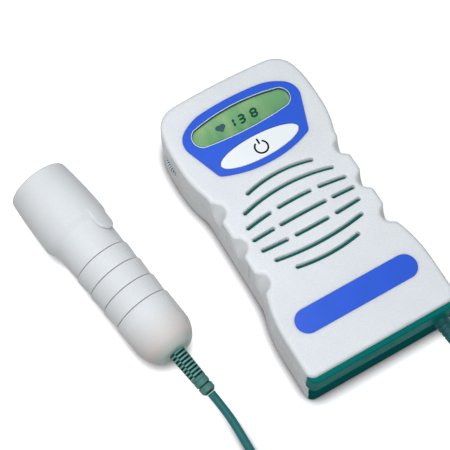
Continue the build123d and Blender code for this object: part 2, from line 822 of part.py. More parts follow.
parts["volume_wheel"] = make_wheel()
pot = on_board(pot_size, (wheel_x, wheel_y))
spindle_top_z = wheel_z + wheel_t + wheel_gap
parts["volume_potentiometer"] = pot + post(spindle_r, wheel_x, wheel_y, board_top_z, spindle_top_z)
parts["headphone_socket"] = make_jack()
parts["case_screws"] = Compound([make_screw(x, y).solid() for x, y in boss_places])


# ================================================================ cells and contacts
def make_cell(y, heading):
    """An AA cell lying along X, its positive end towards heading."""
    flat = heading * (bay_half - contact_t - cell_nub)
    start, end = sorted((flat, flat - heading * cell_length))
    cell = fillet(pin(cell_r, y, cell_z, start, end).edges().filter_by(GeomType.CIRCLE), cell_edge_r)
    nub = sorted((flat, flat + heading * cell_nub))
    return cell + pin(cell_nub_r, y, cell_z, *nub)


def make_spring(y, heading):
    """The coil spring between a cell's negative end and its contact."""
    far = -heading * (bay_half - contact_t)
    near = heading * (bay_half - contact_t - cell_nub - cell_length)
    low, high = min(near, far), max(near, far)
    height = high - low - 2 * spring_wire_r
    coil = Helix(pitch=height / spring_turns, height=height, radius=spring_r)
    wire = sweep(Plane(coil @ 0, z_dir=coil % 0) * Circle(spring_wire_r), path=coil)
    for z in (0, height):
        wire += Pos(0, 0, z) * Torus(spring_r, spring_wire_r)
    return Pos(low + spring_wire_r, y, cell_z) * Rot(0, 90, 0) * wire


def make_contact(x_side, y0, y1):
    """A flat contact plate on one side wall of the bay."""
    x0, x1 = sorted((x_side * bay_half, x_side * (bay_half - contact_t)))
    return block(x0, x1, y0, y1, *contact_z)


cell_z = door_t + 2 * door_gap + cell_r
cell_rows = {
    "battery_near_display": (bay_y + cell_pitch / 2, 1),
    "battery_near_foot": (bay_y - cell_pitch / 2, -1),
}
for name, (y, heading) in cell_rows.items():
    parts[name] = make_cell(y, heading)
parts["battery_springs"] = Compound([make_spring(*row).solid() for row in cell_rows.values()])
outer_plates = [make_contact(1, y - contact_half, y + contact_half) for y, _ in cell_rows.values()]
parts["contact_plates"] = Compound([plate.solid() for plate in outer_plates])
bridge_reach = cell_pitch / 2 + contact_half
parts["contact_bridge"] = make_contact(-1, bay_y - bridge_reach, bay_y + bridge_reach)


# ================================================================ the unit's own strain relief
def make_unit_relief():
    """The moulded boot at the foot end: collar inside, neck through the wall, ringed sleeve outside."""
    inside = cap_t + end_wall + boot_gap
    outline = [(0, inside + boot_collar_t), (boot_collar_r, inside + boot_collar_t), (boot_collar_r, inside)]
    outline += [(boot_neck_r, inside), (boot_neck_r, 0), (boot_r, 0)]
    outline += [(boot_tip_r, -boot_length), (0, -boot_length)]
    boot = spun(outline, Axis.Y)
    width, depth = boot_ring
    for i in range(boot_rings):
        y = -2.4 - i * boot_ring_pitch
        ring_r = boot_r + (boot_tip_r - boot_r) * -y / boot_length
        boot -= rod(boot_r + 1, 0, 0, y - width, y) - rod(ring_r - depth, 0, 0, y - width, y)
    return Pos(cord_exit_x, foot_end_y, cord_exit_z) * boot


parts["unit_strain_relief"] = make_unit_relief()


# ================================================================ probe, drawn about its own Y axis
def head_curve(inset=0.0):
    """The probe head's outer curve, from the face's edge to the foot of its shoulder."""
    dome_points = [(head_face_r, head_face_y), (head_mid_r, head_mid_y), (head_r, head_wide_y)]
    dome = ThreePointArc(*[(r - inset, y) for r, y in dome_points])
    shoulder_points = [(0, head_wide_y), *head_shoulder, (head_foot_inset, head_foot_y)]
    knots = [(head_r - drop - inset, y) for drop, y in shoulder_points]
    return [dome, Spline(*knots, tangents=[(0, -1), (-0.05, -1)])]


def make_head():
    """The cup of the probe: face bore, neck bore and the clip tongue."""
    outer = head_curve()
    face = Line((0, head_face_y), outer[0] @ 0)
    foot = Line(outer[1] @ 1, (0, head_foot_y))
    head = revolve(make_face(outer + [face, foot, Line((0, head_foot_y), (0, head_face_y))]), Axis.Y)
    head = fillet(head.edges().filter_by(GeomType.CIRCLE).sort_by(Axis.Y)[-1], head_edge_r)
    tongue_face = [(clip_inner_r, clip_tip_y), (clip_tip_r, clip_tip_y)]
    tongue_face += [(head_r, head_wide_y), (clip_inner_r, head_wide_y)]
    straight = clip_tip_y + clip_half
    reach = block(clip_root_x, 2 * head_r, straight, head_wide_y, -clip_half, clip_half)
    tip = Pos(clip_root_x + head_r, straight, 0) * Rot(0, 90, 0) * Cylinder(clip_half, 2 * head_r)
    head += Rot(0, -clip_angle, 0) * (spun(tongue_face, Axis.Y) & (reach + tip))
    neck_end = head_foot_y + neck_length + neck_gap
    head -= rod(neck_r + neck_gap, 0, 0, head_foot_y - 1, neck_end)
    return head - rod(head_bore_r, 0, 0, neck_end - 0.5, head_face_y + 1)


def handle_points(inset=0.0):
    """The handle's outer outline from its neck to the start of its domed tail."""
    neck, low, high = neck_r - inset, grip_low_r - inset, grip_r - inset
    points = [(neck, head_foot_y + neck_length), (neck, head_foot_y), (high, head_foot_y)]
    depth, above, below = grip_ring
    for i in range(grip_rings):
        y = grip_ring_y - i * grip_ring_pitch
        points += [(low, y + above), (low - depth, y), (high, y - below)]
    return points + [(tail_r - inset, tail_y)]


def handle_face(inset=0.0):
    """Half of the handle's lengthwise section, drawn in by some amount."""
    points = handle_points(inset)
    dome_r = tail_r - inset
    turns = [radians(tail_turn / 2), radians(tail_turn)]
    dome = ThreePointArc(points[-1], *[(dome_r * cos(a), tail_y - dome_r * sin(a)) for a in turns])
    flat = (tail_end_r, tail_end_y + inset)
    ease = TangentArc(dome @ 1, flat, tangent=dome % 1)
    top = (0, points[0][1])
    return make_face([Polyline(top, *points), dome, ease, Polyline(flat, (0, flat[1]), top)])


def hollow_face():
    """Half of the lengthwise section of the space inside the handle."""
    bore = grip_low_r - probe_wall
    dome_r = tail_r - probe_wall
    start = tail_y - sqrt(dome_r**2 - bore**2)
    end = (sqrt(dome_r**2 - (tail_y - tail_inside_y) ** 2), tail_inside_y)
    angle = radians(tail_turn / 2)
    dome = ThreePointArc((bore, start), (dome_r * cos(angle), tail_y - dome_r * sin(angle)), end)
    top_y = head_foot_y + neck_length + 1
    neck = neck_r - probe_wall
    step_y = head_foot_y - probe_wall
    walls = [(0, top_y), (neck, top_y), (neck, step_y), (bore, step_y), (bore, start)]
    return make_face([Polyline(*walls), dome, Polyline(end, (0, end[1]), (0, top_y))])


def make_handle_half(side):
    """One handle shell, drawn with its seam level: a fine groove along the seam, ribs under the board."""
    turn = Rot(0, 90 - 90 * side + 180, 0)
    half = turn * revolve(handle_face(), Axis.Y, 180) - turn * revolve(hollow_face(), Axis.Y, 180)
    half -= rod(relief_root_r + neck_gap, 0, 0, tail_end_y - 1, tail_inside_y + 1)
    seam = block(-beyond, beyond, -beyond, head_foot_y, -seam_width / 2, seam_width / 2)
    half -= seam - revolve(handle_face(seam_depth), Axis.Y)
    if side < 0:
        for y in preamp_ribs:
            saddle_r = grip_low_r - probe_wall + preamp_rib_lap
            saddle = rod(saddle_r, 0, 0, y - preamp_rib_t / 2, y + preamp_rib_t / 2)
            half += saddle & slab(preamp_rib_half, beyond, -beyond, -preamp_size[2] / 2)
    return Rot(0, -clip_angle, 0) * half


def make_crystal(side):
    """One half-moon crystal."""
    back = head_face_y - membrane_sink - membrane_t
    disc = rod(crystal_r, 0, 0, back - crystal_t, back)
    x0, x1 = sorted((side * crystal_gap / 2, side * beyond))
    return disc & block(x0, x1, -beyond, beyond, -beyond, beyond)


def slot_sectors():
    """Two opposite quarters of the strain relief's section, short of the ribs between them."""
    start = relief_spine / sqrt(2)
    reach = 2 * relief_r
    upper = make_face(Polyline((0, start), (reach, start + reach), (-reach, start + reach), close=True))
    return upper + Rot(0, 0, 180) * upper


def make_probe_relief():
    """The ribbed strain relief: root and collar inside the tail, drooping sleeve outside."""
    inside = tail_inside_y + neck_gap
    root = rod(relief_root_r, 0, 0, tail_end_y - 0.5, inside + relief_collar_t)
    root += rod(relief_collar_r, 0, 0, inside, inside + relief_collar_t)
    outline = [(0, relief_sunk), (relief_r, relief_sunk), (relief_r, 0)]
    outline += [(relief_tip_r, -relief_length + relief_bevel)]
    outline += [(relief_tip_r - relief_bevel, -relief_length), (0, -relief_length)]
    sleeve = spun(outline, Axis.Y)
    core = rod(relief_core_r, 0, 0, -relief_length, 0)
    for i in range(2 * relief_slots - 1):
        y = -relief_first_slot - i * relief_slot_pitch / 2
        slots = extrude(Plane.XZ.offset(-y) * slot_sectors(), relief_slot) - core
        sleeve -= Rot(0, relief_turn + 90 * (i % 2), 0) * slots
    for place, width, depth in relief_bands:
        band_r = relief_r + (relief_tip_r - relief_r) * place / relief_length
        band = (0, 0, -place - width, -place)
        sleeve -= rod(relief_r, *band) - rod(band_r - depth, *band)
    return root + (relief_place * sleeve - handle_whole)


relief_place = Pos(0, tail_end_y, 0) * Rot(0, 0, relief_swing) * Rot(relief_droop, 0, 0)
handle_whole = revolve(handle_face(), Axis.Y)
pitch = degrees(asin((head_r - tail_r) / (head_wide_y - tail_y)))
turned_probe = Rot(0, 0, probe_turn) * Rot(pitch, 0, 0)
head_whole = make_head()
resting = turned_probe * Compound([head_whole.solid(), handle_whole.solid()])
probe_lift = -resting.bounding_box().min.Z + 0.01
probe_place = Pos(probe_x, probe_y, probe_lift) * turned_probe
membrane_y = head_face_y - membrane_sink - membrane_t
backing_y = membrane_y - crystal_t
preamp = Pos(0, preamp_y, 0) * Box(*preamp_size)
probe_parts = {
    "probe_head": head_whole,
    "probe_upper_shell": make_handle_half(1),
    "probe_lower_shell": make_handle_half(-1),
    "probe_membrane": rod(head_bore_r, 0, 0, membrane_y, membrane_y + membrane_t),
    "piezo_transmitter": make_crystal(-1),
    "piezo_receiver": make_crystal(1),
    "transducer_backing": rod(backing_r, 0, 0, backing_y - backing_t, backing_y),
    "probe_board": Rot(0, -clip_angle, 0) * preamp,
    "probe_strain_relief": make_probe_relief(),
}
for name, shape in probe_parts.items():
    parts[name] = probe_place * shape


# ================================================================ the cord
def cord_tube(name, points):
    """A round tube along straight runs joined by tangent arcs, as large as the runs allow."""
    points = [Vector(*point) for point in points]
    runs = [points[i + 1] - points[i] for i in range(len(points) - 1)]
    radii = []
    for before, after in zip(runs, runs[1:]):
        half_turn = radians(before.get_angle(after)) / 2
        radii.append(0.45 * min(before.length, after.length) / tan(half_turn))
    path = FilletPolyline(*points, radius=radii)
    tube = sweep(Plane(path @ 0, z_dir=path % 0) * Circle(cord_r), path=path)
    print(name, "length", round(path.length, 1), "radii", [round(r, 1) for r in radii])
    ratio = tube.volume / (pi * cord_r**2 * path.length)
    print(name, "volume against section times length", round(ratio, 4))
    print(name, "points", [(round(p.X, 2), round(p.Y, 2), round(p.Z, 2)) for p in points])
    return tube


def make_coil():
    """The solid that the coil of spare cord fills."""
    half = coil_turns_wide * cord_r
    ring = Pos(coil_mid_r, coil_height / 2) * RectangleRounded(2 * half, coil_height, coil_edge_r)
    return Pos(*coil_centre) * revolve(Plane.XZ * ring, Axis.Z)


relief_tip = (probe_place * relief_place * Pos(0, -relief_length - cord_gap, 0)).position
relief_next = (probe_place * relief_place * Pos(0, -relief_length - cord_gap - first_run, 0)).position
parts["cord_probe_lead"] = cord_tube("probe lead", [relief_tip, relief_next] + probe_lead_points)
parts["cord_coil"] = make_coil()
boot_tip = (cord_exit_x, foot_end_y - boot_length, cord_exit_z)
parts["cord_unit_lead"] = cord_tube("unit lead", unit_lead_points + [boot_tip])

for name, shape in parts.items():
    print(name, shape.is_valid, round(shape.volume, 1), len(shape.solids()), len(shape.faces()))
os.makedirs("parts", exist_ok=True)
for name, shape in parts.items():
    export_step(shape, f"parts/{name}.step")
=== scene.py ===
"""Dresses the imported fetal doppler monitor: finishes, display marks, button symbol, cord and studio.

The object's sizes are in millimetres, and MM turns them to metres where a mesh or a material is made. The
studio's sizes, the depths of bumps and the scales of noises are in metres.
"""

import json
import logging
import math
from dataclasses import KW_ONLY, dataclass, field
from enum import Enum

import bmesh
import bpy
from mathutils import Matrix, Vector

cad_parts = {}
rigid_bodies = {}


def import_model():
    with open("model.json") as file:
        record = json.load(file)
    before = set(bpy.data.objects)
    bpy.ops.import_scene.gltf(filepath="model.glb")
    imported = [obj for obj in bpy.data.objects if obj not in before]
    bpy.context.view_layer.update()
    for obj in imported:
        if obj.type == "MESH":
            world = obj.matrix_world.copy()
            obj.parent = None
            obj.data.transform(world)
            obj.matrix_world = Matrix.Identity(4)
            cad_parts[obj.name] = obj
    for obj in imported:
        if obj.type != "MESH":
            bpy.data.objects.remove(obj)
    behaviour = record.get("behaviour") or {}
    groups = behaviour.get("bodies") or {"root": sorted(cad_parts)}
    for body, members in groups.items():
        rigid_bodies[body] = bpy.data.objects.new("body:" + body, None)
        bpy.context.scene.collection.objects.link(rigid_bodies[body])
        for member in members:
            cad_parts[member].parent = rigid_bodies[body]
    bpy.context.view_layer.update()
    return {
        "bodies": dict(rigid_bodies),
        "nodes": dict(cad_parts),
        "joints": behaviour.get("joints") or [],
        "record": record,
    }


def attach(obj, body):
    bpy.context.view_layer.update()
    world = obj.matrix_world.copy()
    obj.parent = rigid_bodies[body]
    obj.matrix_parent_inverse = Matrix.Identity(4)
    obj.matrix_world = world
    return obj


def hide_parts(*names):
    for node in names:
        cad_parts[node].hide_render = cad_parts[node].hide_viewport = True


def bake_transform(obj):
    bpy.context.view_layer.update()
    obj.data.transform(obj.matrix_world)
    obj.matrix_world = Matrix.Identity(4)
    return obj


Socket = bpy.types.NodeSocket
Material = bpy.types.Material
Shape = bmesh.types.BMesh
Piece = bpy.types.Object
Vec2 = tuple[float, float]
Vec3 = tuple[float, float, float]
Levels = tuple[tuple[str, float | Vec3], ...]  # socket names and what they hold
# A painted shade round the probe's tail, teal as reflected from the sleeve near it and warm further off.
TailShade = tuple[float, float, Vec3]  # near and far limits, and what it keeps of red, green and blue
Band = tuple[str, float, float, float]  # name, lower and upper heights, and thickness
Lamp = tuple[str, float, float, Vec3]  # name, power, size and place

LOG = logging.getLogger("doppler")
MM = 0.001
MIX_INPUTS = (0, 6, 7)  # a colour mix's share and its two colours
MIX_OUTPUT = 2
NUMBER_MIX_INPUTS = (0, 2, 3)  # a number mix's share and its two numbers
ARC_STEPS = 24
RING_STEPS = 60
TINY = 1e-6  # millimetres
MERGE = 0.001  # millimetres
WELD = 1e-7  # metres
UP = (0.0, 0.0, 1.0)


class Body(Enum):
    """The rigid bodies that pieces ride on."""

    UNIT = "unit"
    BUTTON = "button"
    PROBE = "probe"


class Tint(Enum):
    """Surface colours, as 8-bit sRGB."""

    SHELL = (237, 239, 240)
    PROBE = (227, 228, 228)
    BUTTON = (243, 246, 246)
    # Painted shade: the dark teal of the end caps and battery door stands in for shade on the unit's white foot
    # end.
    END_SHADE = (6, 116, 110)
    END_SHADE_DEEP = (12, 108, 104)
    WHEEL = (224, 240, 244)
    # Painted shade in the wheel's notches and on its face away from the rim.
    WHEEL_NOTCH_SHADE = (0, 34, 44)
    OVERLAY = (37, 91, 217)
    LCD = (136, 186, 132)
    LCD_DEEP = (90, 154, 102)
    LCD_HAZE = (190, 212, 150)
    INK = (0, 78, 70)
    HEART = (56, 98, 108)
    SYMBOL = (12, 16, 22)
    # Painted shade: the seal's dark teal stands in for the shade on the window's wall.
    WALL_SHADE_SEAL = (0, 92, 88)
    # Painted highlight: a pale ring at the window's rim stands in for its lit edge.
    RIM_HIGHLIGHT = (232, 244, 252)
    COLLAR = (20, 52, 50)
    # Painted shade: the cloth's bright teal makes the shade inside the grille slots teal.
    CLOTH_SLOT_SHADE = (6, 148, 136)
    CORD = (22, 104, 104)
    BOOT = (12, 88, 90)
    RIB = (108, 164, 156)
    # Painted shade beside the relief's slots and round its core.
    RIB_SLOT_SHADE = (2, 62, 58)
    BOARD = (22, 96, 52)
    TRACE = (40, 128, 74)
    EPOXY = (24, 24, 26)
    STEEL = (176, 178, 182)
    NICKEL = (205, 200, 188)
    CONE = (34, 34, 36)
    FERRITE = (58, 56, 56)
    CELL = (36, 44, 62)
    CELL_BAND = (186, 122, 66)
    RESIN = (214, 220, 222)
    LENS = (130, 170, 120)
    CRYSTAL = (206, 196, 168)
    BACKING = (44, 40, 38)
    FLOOR = (250, 250, 250)
    FLOOR_BOUNCE = (156, 150, 145)
    # Painted contact shadow on the floor round the object.
    CONTACT_SHADOW = (120, 108, 106)

    def linear(self) -> tuple[float, float, float, float]:
        """Give the colour as linear RGBA.

        Returns:
            Red, green, blue and alpha, each from 0 to 1.
        """
        parts = [channel / 255 for channel in self.value]
        lit = [p / 12.92 if p <= 0.04045 else ((p + 0.055) / 1.055) ** 2.4 for p in parts]
        return (lit[0], lit[1], lit[2], 1.0)


def metres(place: Vec3) -> Vec3:
    """Turn a place in millimetres to metres."""
    return tuple(value * MM for value in place)


def ease(share: float) -> float:
    """Ease a share from 0 to 1 at both ends."""
    return share * share * (3 - 2 * share)


@dataclass(frozen=True)
class Axis:
    """A line that a turned shape is laid out about."""

    centre: Vec3
    heading: Vec3


@dataclass(frozen=True)
class Veil:
    """Noise over a piece: cells per metre, octaves, the limits between which it counts, and its stretch."""

    scale: float
    detail: float = 3.0
    low: float = 0.3
    high: float = 0.7
    stretch: Vec3 = (1.0, 1.0, 1.0)


DUST = Veil(260.0, 5.0, 0.4, 0.8)
RUBBER_GRAIN = Veil(3400.0, 2.0)


class ShaderGraph:
    """A new material and the few node calls that the finishes share."""

    def __init__(self, name: str, tint: Tint, roughness: float) -> None:
        """Start a material with a plain Principled surface.

        Args:
            name: The material's name.
            tint: Its base colour.
            roughness: Its base roughness.
        """
        self.material = bpy.data.materials.new(name)
        self.material.use_nodes = True
        self.tree = self.material.node_tree
        self.surface = self.tree.nodes["Principled BSDF"]
        self.hold("Base Color", tint.linear())
        self.hold("Roughness", roughness)
        self.place = self.add("ShaderNodeTexCoord").outputs["Object"]

    def add(self, kind: str, links: dict | None = None, **values: object) -> bpy.types.Node:
        """Add a node, set its properties and link its inputs.

        Args:
            kind: The node's type name.
            links: Input name or number to the socket, number or colour that feeds it.
            **values: Properties of the node itself.

        Returns:
            The new node.
        """
        node = self.tree.nodes.new(kind)
        for key, value in values.items():
            setattr(node, key, value)
        for key, value in (links or {}).items():
            if isinstance(value, Socket):
                self.tree.links.new(value, node.inputs[key])
            else:
                node.inputs[key].default_value = value
        return node

    def feed(self, socket: str, source: Socket) -> None:
        """Link a socket of the surface to its source."""
        self.tree.links.new(source, self.surface.inputs[socket])

    def hold(self, socket: str, value: object) -> None:
        """Set a socket of the surface to a constant."""
        self.surface.inputs[socket].default_value = value

    def noise(self, veil: Veil) -> Socket:
        """Add the noise of a veil.

        Args:
            veil: The veil.

        Returns:
            The noise's value socket, without its limits.
        """
        spread = self.add("ShaderNodeMapping", {"Vector": self.place, "Scale": veil.stretch}).outputs[0]
        looks = {"Vector": spread, "Scale": veil.scale, "Detail": veil.detail}
        return self.add("ShaderNodeTexNoise", looks).outputs["Fac"]

    def mix(self, share: Socket | float, low: Socket | tuple, high: Socket | tuple, way: str = "MIX") -> Socket:
        """Mix two colours, with a share of the second, in one of Blender's ways."""
        links = dict(zip(MIX_INPUTS, (share, low, high)))
        return self.add("ShaderNodeMix", links, data_type="RGBA", blend_type=way).outputs[MIX_OUTPUT]

    def blend(self, amount: Socket, low: Tint, high: Tint) -> Socket:
        """Mix two tints by an amount and give the colour socket."""
        return self.mix(amount, low.linear(), high.linear())

    def shade(self, amount: Socket, tint: Tint, depth: float) -> Socket:
        """Darken a tint by an amount, by depth's share of its light where the amount is 1."""
        base = tint.linear()
        return self.mix(amount, base, tuple(channel * (1 - depth) for channel in base[:3]) + (1.0,))

    def dim(self, amount: Socket, source: Socket, keep: Vec3) -> Socket:
        """Multiply a colour by what it keeps of red, green and blue where the amount is 1."""
        return self.mix(amount, source, (*keep, 1.0), "MULTIPLY")

    def calc(self, operation: str, *values: Socket | float) -> Socket:
        """Work out one operation on numbers, such as MULTIPLY."""
        return self.add("ShaderNodeMath", dict(enumerate(values)), operation=operation).outputs[0]

    def vector(self, operation: str, *values: Socket | Vec3) -> bpy.types.bpy_prop_collection:
        """Work out one operation on vectors, such as CROSS_PRODUCT, and give its outputs."""
        return self.add("ShaderNodeVectorMath", dict(enumerate(values)), operation=operation).outputs

    def arm(self, axis: Axis) -> Socket:
        """Give the vector from an axis's centre to the surface."""
        return self.vector("SUBTRACT", self.place, metres(axis.centre))[0]

    def along(self, axis: Axis) -> Socket:
        """Measure how far the surface lies along an axis, in metres."""
        return self.vector("DOT_PRODUCT", self.arm(axis), axis.heading)["Value"]

    def apart(self, axis: Axis) -> Socket:
        """Measure how far the surface lies from an axis, in metres."""
        cross = self.vector("CROSS_PRODUCT", self.arm(axis), axis.heading)[0]
        return self.vector("LENGTH", cross)["Value"]

    def offset(self, axis: Axis, way: Vec3) -> Socket:
        """Measure how far the surface lies from an axis along one direction, whichever side it's on."""
        return self.calc("ABSOLUTE", self.vector("DOT_PRODUCT", self.arm(axis), way)["Value"])

    def round_phase(self, axis: Axis, count: int) -> Socket:
        """Wave from -1 to 1 and back, round an axis that stands along Z.

        Args:
            axis: The axis.
            count: How many waves there are.

        Returns:
            The wave's socket.
        """
        sides = self.add("ShaderNodeSeparateXYZ", {0: self.arm(axis)}).outputs
        angle = self.calc("ARCTAN2", sides["Y"], sides["X"])
        return self.calc("COSINE", self.calc("MULTIPLY", angle, float(count)))

    def ramp(self, amount: Socket, low: float, high: float, start: float = 0.0, end: float = 1.0) -> Socket:
        """Map an amount from between low and high to between start and end, and clamp it."""
        limits = {"Value": amount, "From Min": low, "From Max": high, "To Min": start, "To Max": end}
        return self.add("ShaderNodeMapRange", limits).outputs[0]

    def veil(self, veil: Veil, start: float = 0.0, end: float = 1.0) -> Socket:
        """Lay a veil over the piece, from start at its lower limit to end at its upper one."""
        return self.ramp(self.noise(veil), veil.low, veil.high, start, end)

    def bump(self, height: Socket, depth: float, strength: float = 1.0) -> None:
        """Raise the surface by a height, depth metres at most."""
        node = self.add("ShaderNodeBump", {"Height": height, "Distance": depth, "Strength": strength})
        self.feed("Normal", node.outputs[0])


@dataclass(frozen=True)
class Finish:
    """A named material: a tint that clouds darken, a roughness that wear varies, a grain, and fixed levels."""

    name: str
    tint: Tint
    roughness: float
    _: KW_ONLY
    gloss: float = 0.5
    clouds: Veil | None = None
    mottling: float = 0.0
    rub: Veil | None = None
    wear: Vec2 = (0.0, 0.0)
    grain: Veil | None = None
    depth: float = 0.0
    strength: float = 1.0
    levels: Levels = ()

    def colour(self, graph: ShaderGraph) -> Socket:
        """Give the tint as the clouds darken it."""
        return graph.shade(graph.veil(self.clouds), self.tint, self.mottling)

    def paint(self, graph: ShaderGraph) -> None:
        """Colour the surface, where it has clouds."""
        if self.clouds:
            graph.feed("Base Color", self.colour(graph))

    def make(self) -> Material:
        """Build the material.

        Returns:
            The new material.
        """
        graph = ShaderGraph(self.name, self.tint, self.roughness)
        self.paint(graph)
        for socket, value in (("Specular IOR Level", self.gloss), *self.levels):
            graph.hold(socket, value)
        if self.rub:
            graph.feed("Roughness", graph.veil(self.rub, *(self.roughness + shift for shift in self.wear)))
        if self.grain:
            graph.bump(graph.noise(self.grain), self.depth, self.strength)
        return graph.material


@dataclass(frozen=True)
class MouldedPlastic(Finish):
    """Injection-moulded plastic: fine spark-eroded grain, faint mottling and handling marks."""

    roughness: float = 0.42
    _: KW_ONLY
    clouds: Veil = Veil(38.0, 4.0, 0.35, 0.75)
    mottling: float = 0.05
    specks: Veil = Veil(1300.0, 3.0, 0.35, 0.72)
    speckle: float = 0.0
    rub: Veil = Veil(120.0, 5.0)
    wear: Vec2 = (-0.06, 0.08)
    grain: Veil = Veil(2600.0, 2.0)
    depth: float = 0.00003

    def colour(self, graph: ShaderGraph) -> Socket:
        """Give the tint with clouds of handling marks and the grain's specks."""
        return graph.dim(graph.veil(self.specks), super().colour(graph), (1 - self.speckle,) * 3)


@dataclass(frozen=True)
class RingedPlastic(MouldedPlastic):
    """Moulded plastic with painted shade in its grooves round an axis, and painted shade round one end, tinted
    teal as reflected from the sleeve nearest it and warm further off.
    """

    _: KW_ONLY
    axis: Axis
    first: float
    pitch: float
    rings: int = 4
    half: float = 0.3
    # what the painted shade in the grooves keeps of red, green and blue
    keep: Vec3 = (0.52, 0.47, 0.46)
    tail_shades: tuple[TailShade, ...]
    tail_shade_at: Vec3

    def colour(self, graph: ShaderGraph) -> Socket:
        """Give the plastic's colour, with painted shade along its grooves and round its tail.

        Args:
            graph: The material under way.

        Returns:
            The colour socket.
        """
        place = graph.along(self.axis)
        # Painted shade along each groove's floor.
        lines = graph.add("ShaderNodeValue").outputs[0]
        for ring in range(self.rings):
            middle = (self.first - ring * self.pitch) * MM
            lines = graph.calc("MAXIMUM", lines, graph.calc("COMPARE", place, middle, self.half * MM))
        tone = graph.dim(lines, super().colour(graph), self.keep)
        # Painted shade round the tail, full near the sleeve's root and fading further off.
        reach = graph.vector("DISTANCE", graph.place, metres(self.tail_shade_at))["Value"]
        for near, far, keep in self.tail_shades:
            tone = graph.dim(graph.ramp(reach, near * MM, far * MM, 1.0, 0.0), tone, keep)
        return tone


@dataclass(frozen=True)
class RecessShaded(Finish):
    """Ribs about an axis: their tint on the crests, a deep tint as painted shade in the recesses, and dust."""

    deep: Tint
    axis: Axis
    radii: Vec2
    _: KW_ONLY
    gloss: float = 0.2
    dust: Veil = DUST
    keep: Vec3 = (0.82, 0.86, 0.86)
    grain: Veil = RUBBER_GRAIN
    depth: float = 0.00002

    def height(self, graph: ShaderGraph) -> Socket:
        """Give the share of the crest tint, from 0 in a recess, where the painted shade is full, to 1 on a
        crest.
        """
        return graph.ramp(graph.apart(self.axis), *(radius * MM for radius in self.radii))

    def paint(self, graph: ShaderGraph) -> None:
        """Colour the surface from painted shade in its recesses to its tint on the crests, and dust it."""
        tone = graph.blend(self.height(graph), self.deep, self.tint)
        graph.feed("Base Color", graph.dim(graph.veil(self.dust), tone, self.keep))


@dataclass(frozen=True)
class NotchedRim(RecessShaded):
    """A rim with painted shade in its evenly spaced notches, about an axis that stands along Z."""

    _: KW_ONLY
    notches: int = 43
    edge: Vec2 = (-0.5, 0.0)

    def height(self, graph: ShaderGraph) -> Socket:
        """Give the share of the crest tint, with painted shade in the notches."""
        ridge = graph.ramp(graph.round_phase(self.axis, self.notches), *self.edge, 1.0, 0.0)
        return graph.calc("MULTIPLY", super().height(graph), ridge)


@dataclass(frozen=True)
class SlottedSleeve(RecessShaded):
    """A sleeve with two crossed rows of slots, half a pitch apart, with painted shade beside the slots and pale
    crests on the ribs between them.
    """

    _: KW_ONLY
    first: float
    pitch: float
    reach: float = 16.0
    rows: tuple[Vec3, Vec3]
    edge: Vec2 = (-0.5, -0.1)
    # share of the crest tint beyond the slots, so half painted shade
    beyond: float = 0.5

    def height(self, graph: ShaderGraph) -> Socket:
        """Give the share of the crest tint, with painted shade beside the slots of each row.

        Args:
            graph: The material under way.

        Returns:
            The socket from 0 in a slot, where the painted shade is full, to 1 on a crest.
        """
        place = graph.along(self.axis)
        shifted = graph.calc("SUBTRACT", place, self.first * MM)
        wave = graph.calc("COSINE", graph.calc("MULTIPLY", shifted, math.tau / (self.pitch * MM)))
        side = graph.calc("SIGN", graph.calc("SUBTRACT", *(graph.offset(self.axis, row) for row in self.rows)))
        rib = graph.ramp(graph.calc("MULTIPLY", wave, side), *self.edge, 1.0, 0.0)
        slotted = graph.calc("LESS_THAN", place, self.reach * MM)
        links = dict(zip(NUMBER_MIX_INPUTS, (slotted, self.beyond, rib)))
        shown = graph.add("ShaderNodeMix", links).outputs[0]
        return graph.calc("MULTIPLY", super().height(graph), shown)


@dataclass(frozen=True)
class PrintedOverlay(Finish):
    """Screen-printed polyester overlay: deep colour under a hard clear skin with slight orange peel."""

    roughness: float = 0.34
    _: KW_ONLY
    gloss: float = 0.3
    clouds: Veil = Veil(90.0, 3.0, 0.3, 0.8)
    mottling: float = 0.10
    grain: Veil = Veil(900.0, 1.0)
    depth: float = 0.00004
    strength: float = 0.6
    levels: Levels = (("Coat Weight", 0.1), ("Coat Roughness", 0.2))


@dataclass(frozen=True)
class LcdPanel(Finish):
    """Reflective liquid crystal glass: deeper towards its foot, hazy in streaks, with a fine dot pitch."""

    foot_y: float
    head_y: float
    _: KW_ONLY
    gloss: float = 0.3
    dots: float = 900.0
    gap: float = 0.02
    gap_level: float = 0.9
    streaks: Veil = Veil(70.0, 3.0, 0.42, 0.68, (1.0, 0.35, 1.0))
    haze: float = 0.75

    def paint(self, graph: ShaderGraph) -> None:
        """Colour the glass.

        Args:
            graph: The material under way.
        """
        along = graph.add("ShaderNodeSeparateXYZ", {0: graph.place}).outputs["Y"]
        fall = graph.ramp(along, self.foot_y * MM, self.head_y * MM)
        tone = graph.blend(fall, Tint.LCD_DEEP, self.tint)
        hazy = graph.mix(graph.veil(self.streaks, 0.0, self.haze), tone, Tint.LCD_HAZE.linear())
        white, mortar = (1, 1, 1, 1), (self.gap_level,) * 3 + (1,)
        looks = {"Color1": white, "Color2": white, "Mortar": mortar}
        sizes = {"Vector": graph.place, "Scale": self.dots, "Mortar Size": self.gap}
        grid = graph.add("ShaderNodeTexBrick", looks | sizes, offset=0.0)
        graph.feed("Base Color", graph.mix(1.0, hazy, grid.outputs[0], "MULTIPLY"))


@dataclass(frozen=True)
class ClearLens(Finish):
    """Clear hard-coated acrylic, thin enough to pass most of the light."""

    tint: Tint = Tint.LENS
    roughness: float = 0.06
    _: KW_ONLY
    gloss: float = 0.1
    rub: Veil = Veil(300.0, 3.0, 0.3, 0.8)
    wear: Vec2 = (-0.03, 0.04)
    levels: Levels = (("Alpha", 0.03), ("IOR", 1.49))


